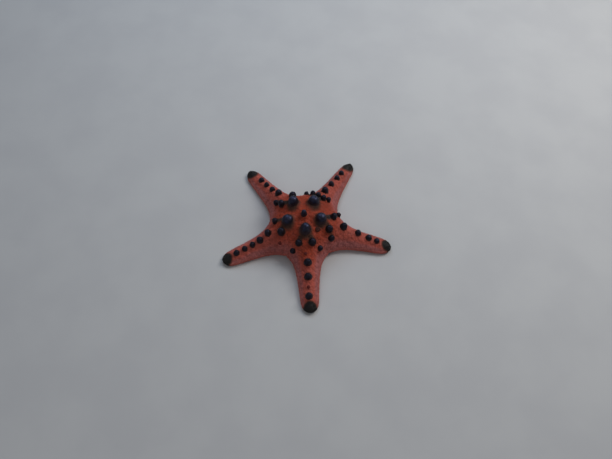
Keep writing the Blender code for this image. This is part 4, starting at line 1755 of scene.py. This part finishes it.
@dataclass
class Tubercles(Fitting):
    """The dark tubercles of each arm, in a row along its back and spread beyond its horn."""

    finish: Finish = TUBERCLE
    slot: Slot = Slot.HORN
    profile: Rows = (
        (1.10, -0.34), (1.04, -0.06), (1.0, 0.16), (0.95, 0.42), (0.84, 0.66), (0.61, 0.87), (0.31, 0.975),
        (0.0, 1.0),
    )
    rounds: int = 2
    sides: int = 48
    squash: float = 0.05
    roughness: float = 0.09
    pitches: Span = (4.0, 1.7)

    def build(self) -> list[bpy.types.Object]:
        """Makes one piece for each arm's tubercles.

        Returns:
            The five pieces.
        """
        grain = Grain.turned(rounded(self.profile, self.rounds), self.sides)
        long, short = self.pitches
        made = []
        for index, arm in enumerate(ARMS):
            mine = [bump for bump in self.skin.bumps[len(ARMS) + 1:] if bump.arm == index]
            rng = np.random.default_rng(SEED + 100 + index)
            flock = Flock.on_bumps(grain, mine, 0.0, rng, self.squash)
            points = flock.points()
            for row, bump in zip(points, mine):
                bulge = wave(row, long, index + 80) + 0.6 * wave(row, short, 90)
                row += unit(row - bump.point) * (self.roughness * bulge)[:, None]
            knobs = flock.build(f"tubercles_{arm.name}", points)
            share = np.tile(np.clip(grain.points[:, 2], 0, 1), len(mine))
            faint = np.repeat([float(bump.faint) for bump in mine], len(grain.points))
            store(knobs.data, MARKS, np.stack((faint, share, 0 * share), axis=1))
            made.append(knobs)
        return made

    def dress(self, made: list[bpy.types.Object], wardrobe: Wardrobe) -> None:
        """Dresses the tubercles in their dark finish."""
        wardrobe.dress(made, wardrobe.horn(self.finish), self.slot)


@dataclass
class Collars(Fitting):
    """Small dark granules that climb the feet of the horns and tubercles and thin out upwards."""

    horn_span: Span = (0.0, 0.46)  # share of the height that they climb
    knob_span: Span = (0.1, 0.34)
    pitch: float = 0.62
    radii: Span = (0.20, 0.33)
    height: float = 0.20
    tries: float = 14.0  # for each square mm
    thinning: Span = (0.8, 1.5)  # how many are lost at the top, and the power of the way there
    lean: float = 0.25
    shrink: float = 0.55  # of the highest
    dark: Span = (0.88, 1.0)  # the lowest's and the highest's
    squash: float = 0.12

    def build(self) -> list[bpy.types.Object]:
        """Sets the granules on every horn and tubercle and joins them.

        Returns:
            The one piece, in a list.
        """
        rng, skin = np.random.default_rng(SEED + 500), self.skin
        tree = tree_of(skin.points)
        corners = read(skin.mesh.loops, "vertex_index", 1, int)[:, 0]
        flat = np.zeros((len(skin.points), 2))
        flat[corners] = read(skin.mesh.uv_layers[UV_NAME].data, "uv", 2)
        lost, power = self.thinning
        parts = []
        for number, bump in enumerate(skin.bumps):
            if bump.faint:
                continue
            horn = number <= len(ARMS)
            profile, rise = (Horns.profile, Horns.rise_at(number)) if horn else (Tubercles.profile, 0.0)
            low, reach = self.horn_span if horn else self.knob_span
            count = int(self.tries * math.tau * bump.radius * bump.height * (reach - low))
            share = rng.uniform(low, reach, count)
            share = share[rng.uniform(0, 1, count) > lost * ((share - low) / (reach - low)) ** power]
            turn = rng.uniform(0, math.tau, len(share))
            side = unit(np.cross(bump.axis, (0.3, 1.0, 0.2)))
            out = np.cos(turn)[:, None] * side + np.sin(turn)[:, None] * np.cross(bump.axis, side)
            across = bump.radius * np.interp(share, [h for _, h in profile], [r for r, _ in profile])
            points = bump.point + bump.axis * (rise + share * bump.height)[:, None] + out * across[:, None]
            taken = settle(points, self.pitch)
            up = (share[taken] - low) / (reach - low)
            spots = np.array([flat[tree.find(point)[1]] for point in points[taken]])
            parts.append((points[taken], out[taken] + self.lean * bump.axis, up, spots))
        roots, axes, up, spots = (np.concatenate(part) for part in zip(*parts))
        sizes = 1 - self.shrink * up
        darks = self.dark[0] + (self.dark[1] - self.dark[0]) * up
        wide = sizes * rng.uniform(*self.radii, len(roots))
        flock = Flock(BEAD, roots, axes, wide, self.height * sizes, rng, self.squash)
        made = flock.build("granules_horns")
        marks = np.stack((darks, 0 * darks, 0 * darks), axis=1)
        flock.mark(made, marks, np.zeros_like(marks), spots)
        return [made]


@dataclass
class TubeFeet(Fitting):
    """Two rows of feet in every groove, each ending in a sucker."""

    finish: Finish = FOOT
    slot: Slot = Slot.MOUTH
    profile: Rows = (
        (0.60, 0.0), (0.58, 0.30), (0.50, 0.62), (0.52, 0.80), (0.86, 0.89), (1.0, 0.94), (0.96, 0.985),
        (0.55, 1.0), (0.0, 0.965),
    )
    sides: int = 10
    pitch: float = 2.3
    first: float = 7.0
    radius: float = 0.82
    radius_least: float = 0.45  # share that a foot keeps where its groove ends
    root: float = 0.9
    roof: float = 0.8  # share of the groove's depth where they hang
    aside: float = 0.42  # share of the groove's half-width
    splay: float = 0.13
    least: float = 0.8  # length under its root of the shortest
    stretch: float = 0.97
    squash: float = 0.08
    clearance: float = 0.12

    def build(self) -> list[bpy.types.Object]:
        """Hangs every foot from its groove's roof.

        Returns:
            The one piece, in a list.
        """
        skin = self.skin
        origins, heights, radii = [], [], []
        for index, arm in enumerate(ARMS):
            stations = np.arange(self.first, arm.length - skin.groove_end - 1.0, self.pitch)
            for side in SIDES:
                along = stations + (0.5 * self.pitch if side > 0 else 0)
                width, depth = skin.groove_at(np.full(len(along), index), along)
                top = self.roof * depth + skin.sole_level + self.root
                origins.append(skin.form.place(index, along, side * self.aside * width, top))
                heights.append(top - self.clearance)
                share = self.radius_least + (1 - self.radius_least) * width / skin.groove_widths[0]
                radii.append(self.radius * share)
        origins, heights, radii = (np.concatenate(part) for part in (origins, heights, radii))
        keep = heights > self.root + self.least
        rng = np.random.default_rng(SEED + 200)
        tilt = rng.uniform(-self.splay, self.splay, (2, len(origins)))
        axes = np.stack((*tilt, -np.ones(len(origins))), axis=1)
        grain, heights = Grain.turned(self.profile, self.sides), self.stretch * heights
        flock = Flock(grain, origins[keep], axes[keep], radii[keep], heights[keep], rng, self.squash)
        return [flock.build("tube_feet")]


@dataclass
class FurrowSpines(Fitting):
    """Short blunt spines that close over each groove from both of its edges, and round the mouth."""

    finish: Finish = SPINE
    profile: Rows = ((1.0, 0.0), (0.95, 0.45), (0.8, 0.8), (0.45, 0.96), (0.0, 1.0))
    sides: int = 7
    pitch: float = 1.05
    first: float = 6.6
    root_height: float = 1.35
    root_depth: float = 0.55  # of the groove's depth, where that is less
    tip_height: float = 0.22
    fan: float = 0.7  # how far every third tip lies out or in
    asides: Span = (1.06, 0.50)  # roots and tips, as shares of the groove's half-width
    radii: Span = (0.20, 0.34)  # where the groove ends and where it is widest
    mouth_spines: int = 7
    mouth_step: float = 5.2  # degrees
    mouth_reach: Span = (0.3, 2.6)  # of the roots outwards and the tips inwards
    mouth_heights: Span = (1.5, 0.35)
    mouth_radius: float = 0.42
    shortest: float = 0.88
    squash: float = 0.1

    def build(self) -> list[bpy.types.Object]:
        """Sets the spines from just inside the skin towards the groove's middle.

        Returns:
            The one piece, in a list.
        """
        skin = self.skin
        rng = np.random.default_rng(SEED + 300)
        roots, tips, radii = [], [], []
        for index, arm in enumerate(ARMS):
            stations = np.arange(self.first, arm.length - skin.groove_end - 0.5, self.pitch)
            width, depth = skin.groove_at(np.full(len(stations), index), stations)
            tall = np.minimum(self.root_height, self.root_depth * depth) + skin.sole_level
            fan = self.fan * ((np.arange(len(stations)) % 3) - 1.0)
            for side in SIDES:
                root, tip = (side * share * width for share in self.asides)
                roots.append(skin.form.place(index, stations, root, tall))
                tips.append(skin.form.place(index, stations + fan, tip, self.tip_height))
                least, most = self.radii
                radii.append(least + (most - least) * width / skin.groove_widths[0])
        for index, arm in enumerate(ARMS):
            heading = arm.heading + math.degrees(skin.form.half_gap(index, 1))
            for k in range(self.mouth_spines):
                off = self.mouth_step * (k - (self.mouth_spines - 1) / 2)
                root = around(skin.mouth_radius + self.mouth_reach[0], heading + off)
                tip = around(skin.mouth_radius - self.mouth_reach[1] + 0.12 * abs(off), heading + 0.7 * off)
                roots.append(root[None] + (0, 0, self.mouth_heights[0]))
                tips.append(tip[None] + (0, 0, self.mouth_heights[1]))
                radii.append(np.array((self.mouth_radius,)))
        roots, tips, radii = (np.concatenate(part) for part in (roots, tips, radii))
        lengths = np.linalg.norm(tips - roots, axis=1) * rng.uniform(self.shortest, 1.0, len(roots))
        grain = Grain.turned(self.profile, self.sides)
        return [Flock(grain, roots, tips - roots, radii, lengths, rng, self.squash).build("furrow_spines")]


@dataclass
class SievePlate(Fitting):
    """The madreporite, a small low disc with winding grooves."""

    finish: Finish = SIEVE
    slot: Slot = Slot.SIEVE_PLATE
    radius: float = 3.0
    height: float = 1.25
    sink: float = 1.6
    lift: float = 0.35
    flatness: float = 4.5  # power of the top's curve
    rings: int = 36
    sides: int = 110
    groove: float = 0.20
    grooves: int = 17

    def build(self) -> list[bpy.types.Object]:
        """Makes the plate on the skin in place of its solid.

        Returns:
            The one piece, in a list.
        """
        radii = np.sin(np.linspace(math.pi / 2, 0, self.rings))[:-1]
        dome = [(radius, math.sqrt(max(1 - radius**self.flatness, 0))) for radius in radii]
        grain = Grain.turned(((1.0, -self.sink / self.height), *dome, (0.0, 1.0)), self.sides)
        point, normal = self.skin.under(around(*SIEVE_PLACE))
        rng = np.random.default_rng(SEED + 400)
        bump = Bump(point, normal, self.radius, self.height, len(ARMS))
        flock = Flock.on_bumps(grain, [bump], self.lift, rng, 0.0)
        points = flock.points()[0]
        across, turn = np.hypot(*grain.points[:, :2].T), np.arctan2(grain.points[:, 1], grain.points[:, 0])
        bend = 2.4 * np.sin(6.0 * across + 2 * np.sin(3 * turn)) + 1.5 * wave(points, 2.0, 7)
        ridge = smooth(0.1, 0.9, np.sin(self.grooves * turn + bend))
        ridge *= smooth(0.12, 0.35, across) * (grain.points[:, 2] > 0)
        points -= self.groove * normal * ridge[:, None]
        plate = flock.build("madreporite_fine", points[None])
        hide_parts("madreporite")
        return [plate]


@dataclass
class Mouth(Fitting):
    """The soft folded lip in the middle of the underside."""

    finish: Finish = LIP
    slot: Slot = Slot.MOUTH
    radius: float = 4.9
    profile: Rows = (
        (0.0, 4.3), (0.14, 4.2), (0.24, 3.4), (0.42, 2.4), (0.62, 2.05), (0.80, 2.3), (0.95, 3.2), (1.0, 4.2),
        (1.0, 5.6),
    )
    sides: int = 96
    folds: int = 20
    fold_depth: float = 0.22
    fold_spans: Rows = ((0.12, 0.4), (1.0, 0.8))  # share of the radius where folds set in and end

    def build(self) -> list[bpy.types.Object]:
        """Makes the lip in place of its solid.

        Returns:
            The one piece, in a list.
        """
        grain = Grain.turned(rounded(self.profile, 2), self.sides)
        points = grain.points * (self.radius, self.radius, 1)
        turn = np.arctan2(points[:, 1], points[:, 0])
        across = np.hypot(*grain.points[:, :2].T)
        fold = self.fold_depth * np.cos(self.folds * turn)
        for start, end in self.fold_spans:
            fold *= smooth(start, end, across)
        points[:, 2] += fold
        mesh = bpy.data.meshes.new("mouth_fine")
        mesh.from_pydata(points.tolist(), [], [tuple(reversed(face)) for face in grain.faces])
        lip = piece("mouth_fine", mesh, points)
        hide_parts("mouth")
        return [lip]


class Light(Enum):
    """The studio's soft lights: place, size, power and colour."""

    KEY = ((0.66, 0.42, 0.82), 0.60, 5.6, (1.0, 0.985, 0.96))
    SKY = ((-0.14, 0.80, 0.92), 0.60, 3.3, (0.66, 0.81, 1.0))
    FRONT = ((-0.55, -0.85, 0.75), 0.80, 1.1, (1.0, 0.97, 0.95))


@dataclass
class Studio:
    """A plain pale floor, soft lights and the camera at the photograph's angle."""

    floor_reach: float = 2.5
    field_of_view: float = 55.0
    elevation: float = 58.0
    distance: float = 0.700
    sensor: float = 36.0
    near_clip: float = 0.01
    aim: Place = (0.001, 0.0025, 0.0)
    world: Colour = (0.155, 0.165, 0.18)

    def build(self, wardrobe: Wardrobe) -> None:
        """Sets up the stage.

        Args:
            wardrobe: Where the floor's material comes from.
        """
        aim = Vector(CENTRE) + Vector(self.aim)
        self.floor(wardrobe)
        self.lights(aim)
        self.camera(aim)
        bpy.context.scene.view_settings.view_transform = "Standard"

    def floor(self, wardrobe: Wardrobe) -> None:
        """Lays the floor.

        Args:
            wardrobe: Where its material comes from.
        """
        reach = self.floor_reach
        corners = [(-reach, -reach, 0), (reach, -reach, 0), (reach, reach, 0), (-reach, reach, 0)]
        mesh = bpy.data.meshes.new("floor")
        mesh.from_pydata(corners, [], [(0, 1, 2, 3)])
        floor = bpy.data.objects.new("floor", mesh)
        bpy.context.scene.collection.objects.link(floor)
        mesh.materials.append(wardrobe.plain(FLOOR))

    def lights(self, aim: Vector) -> None:
        """Hangs the lights and sets the air's own light.

        Args:
            aim: Where the lights point.
        """
        for light in Light:
            place, size, power, colour = light.value
            lamp = bpy.data.lights.new(light.name.lower(), "AREA")
            lamp.shape, lamp.size, lamp.energy, lamp.color = "DISK", size, power, colour
            made = bpy.data.objects.new(light.name.lower(), lamp)
            made.location = place
            made.rotation_euler = (aim - made.location).to_track_quat("-Z", "Y").to_euler()
            bpy.context.scene.collection.objects.link(made)
        world = bpy.data.worlds.new("studio")
        world.use_nodes = True
        world.node_tree.nodes["Background"].inputs["Color"].default_value = (*self.world, 1.0)
        bpy.context.scene.world = world

    def camera(self, aim: Vector) -> None:
        """Sets the camera at the photograph's angle.

        Args:
            aim: The middle of the picture.
        """
        rise = math.radians(self.elevation)
        camera = bpy.data.objects.new("camera", bpy.data.cameras.new("camera"))
        camera.data.sensor_width = self.sensor
        camera.data.lens = self.sensor / 2 / math.tan(math.radians(self.field_of_view) / 2)
        camera.data.clip_start = self.near_clip
        camera.location = aim + self.distance * Vector((0, -math.cos(rise), math.sin(rise)))
        camera.rotation_euler = (math.pi / 2 - rise, 0, 0)
        bpy.context.scene.collection.objects.link(camera)
        bpy.context.scene.camera = camera


def main() -> None:
    """Builds the star piece by piece, dresses it and sets the stage."""
    logging.basicConfig(level=logging.INFO, format="%(name)s: %(message)s")
    wardrobe = Wardrobe()
    skin = Skin(StarForm())
    kinds = (GranuleCoat, Horns, Tubercles, Collars, TubeFeet, FurrowSpines, SievePlate, Mouth)
    for part in (skin, *(kind(skin) for kind in kinds)):
        made = part.build()
        part.dress(made, wardrobe)
        for each in made:
            log.info("%s: %d faces", each.name, len(each.data.polygons))
    Studio().build(wardrobe)


if __name__ == "__main__":
    main()
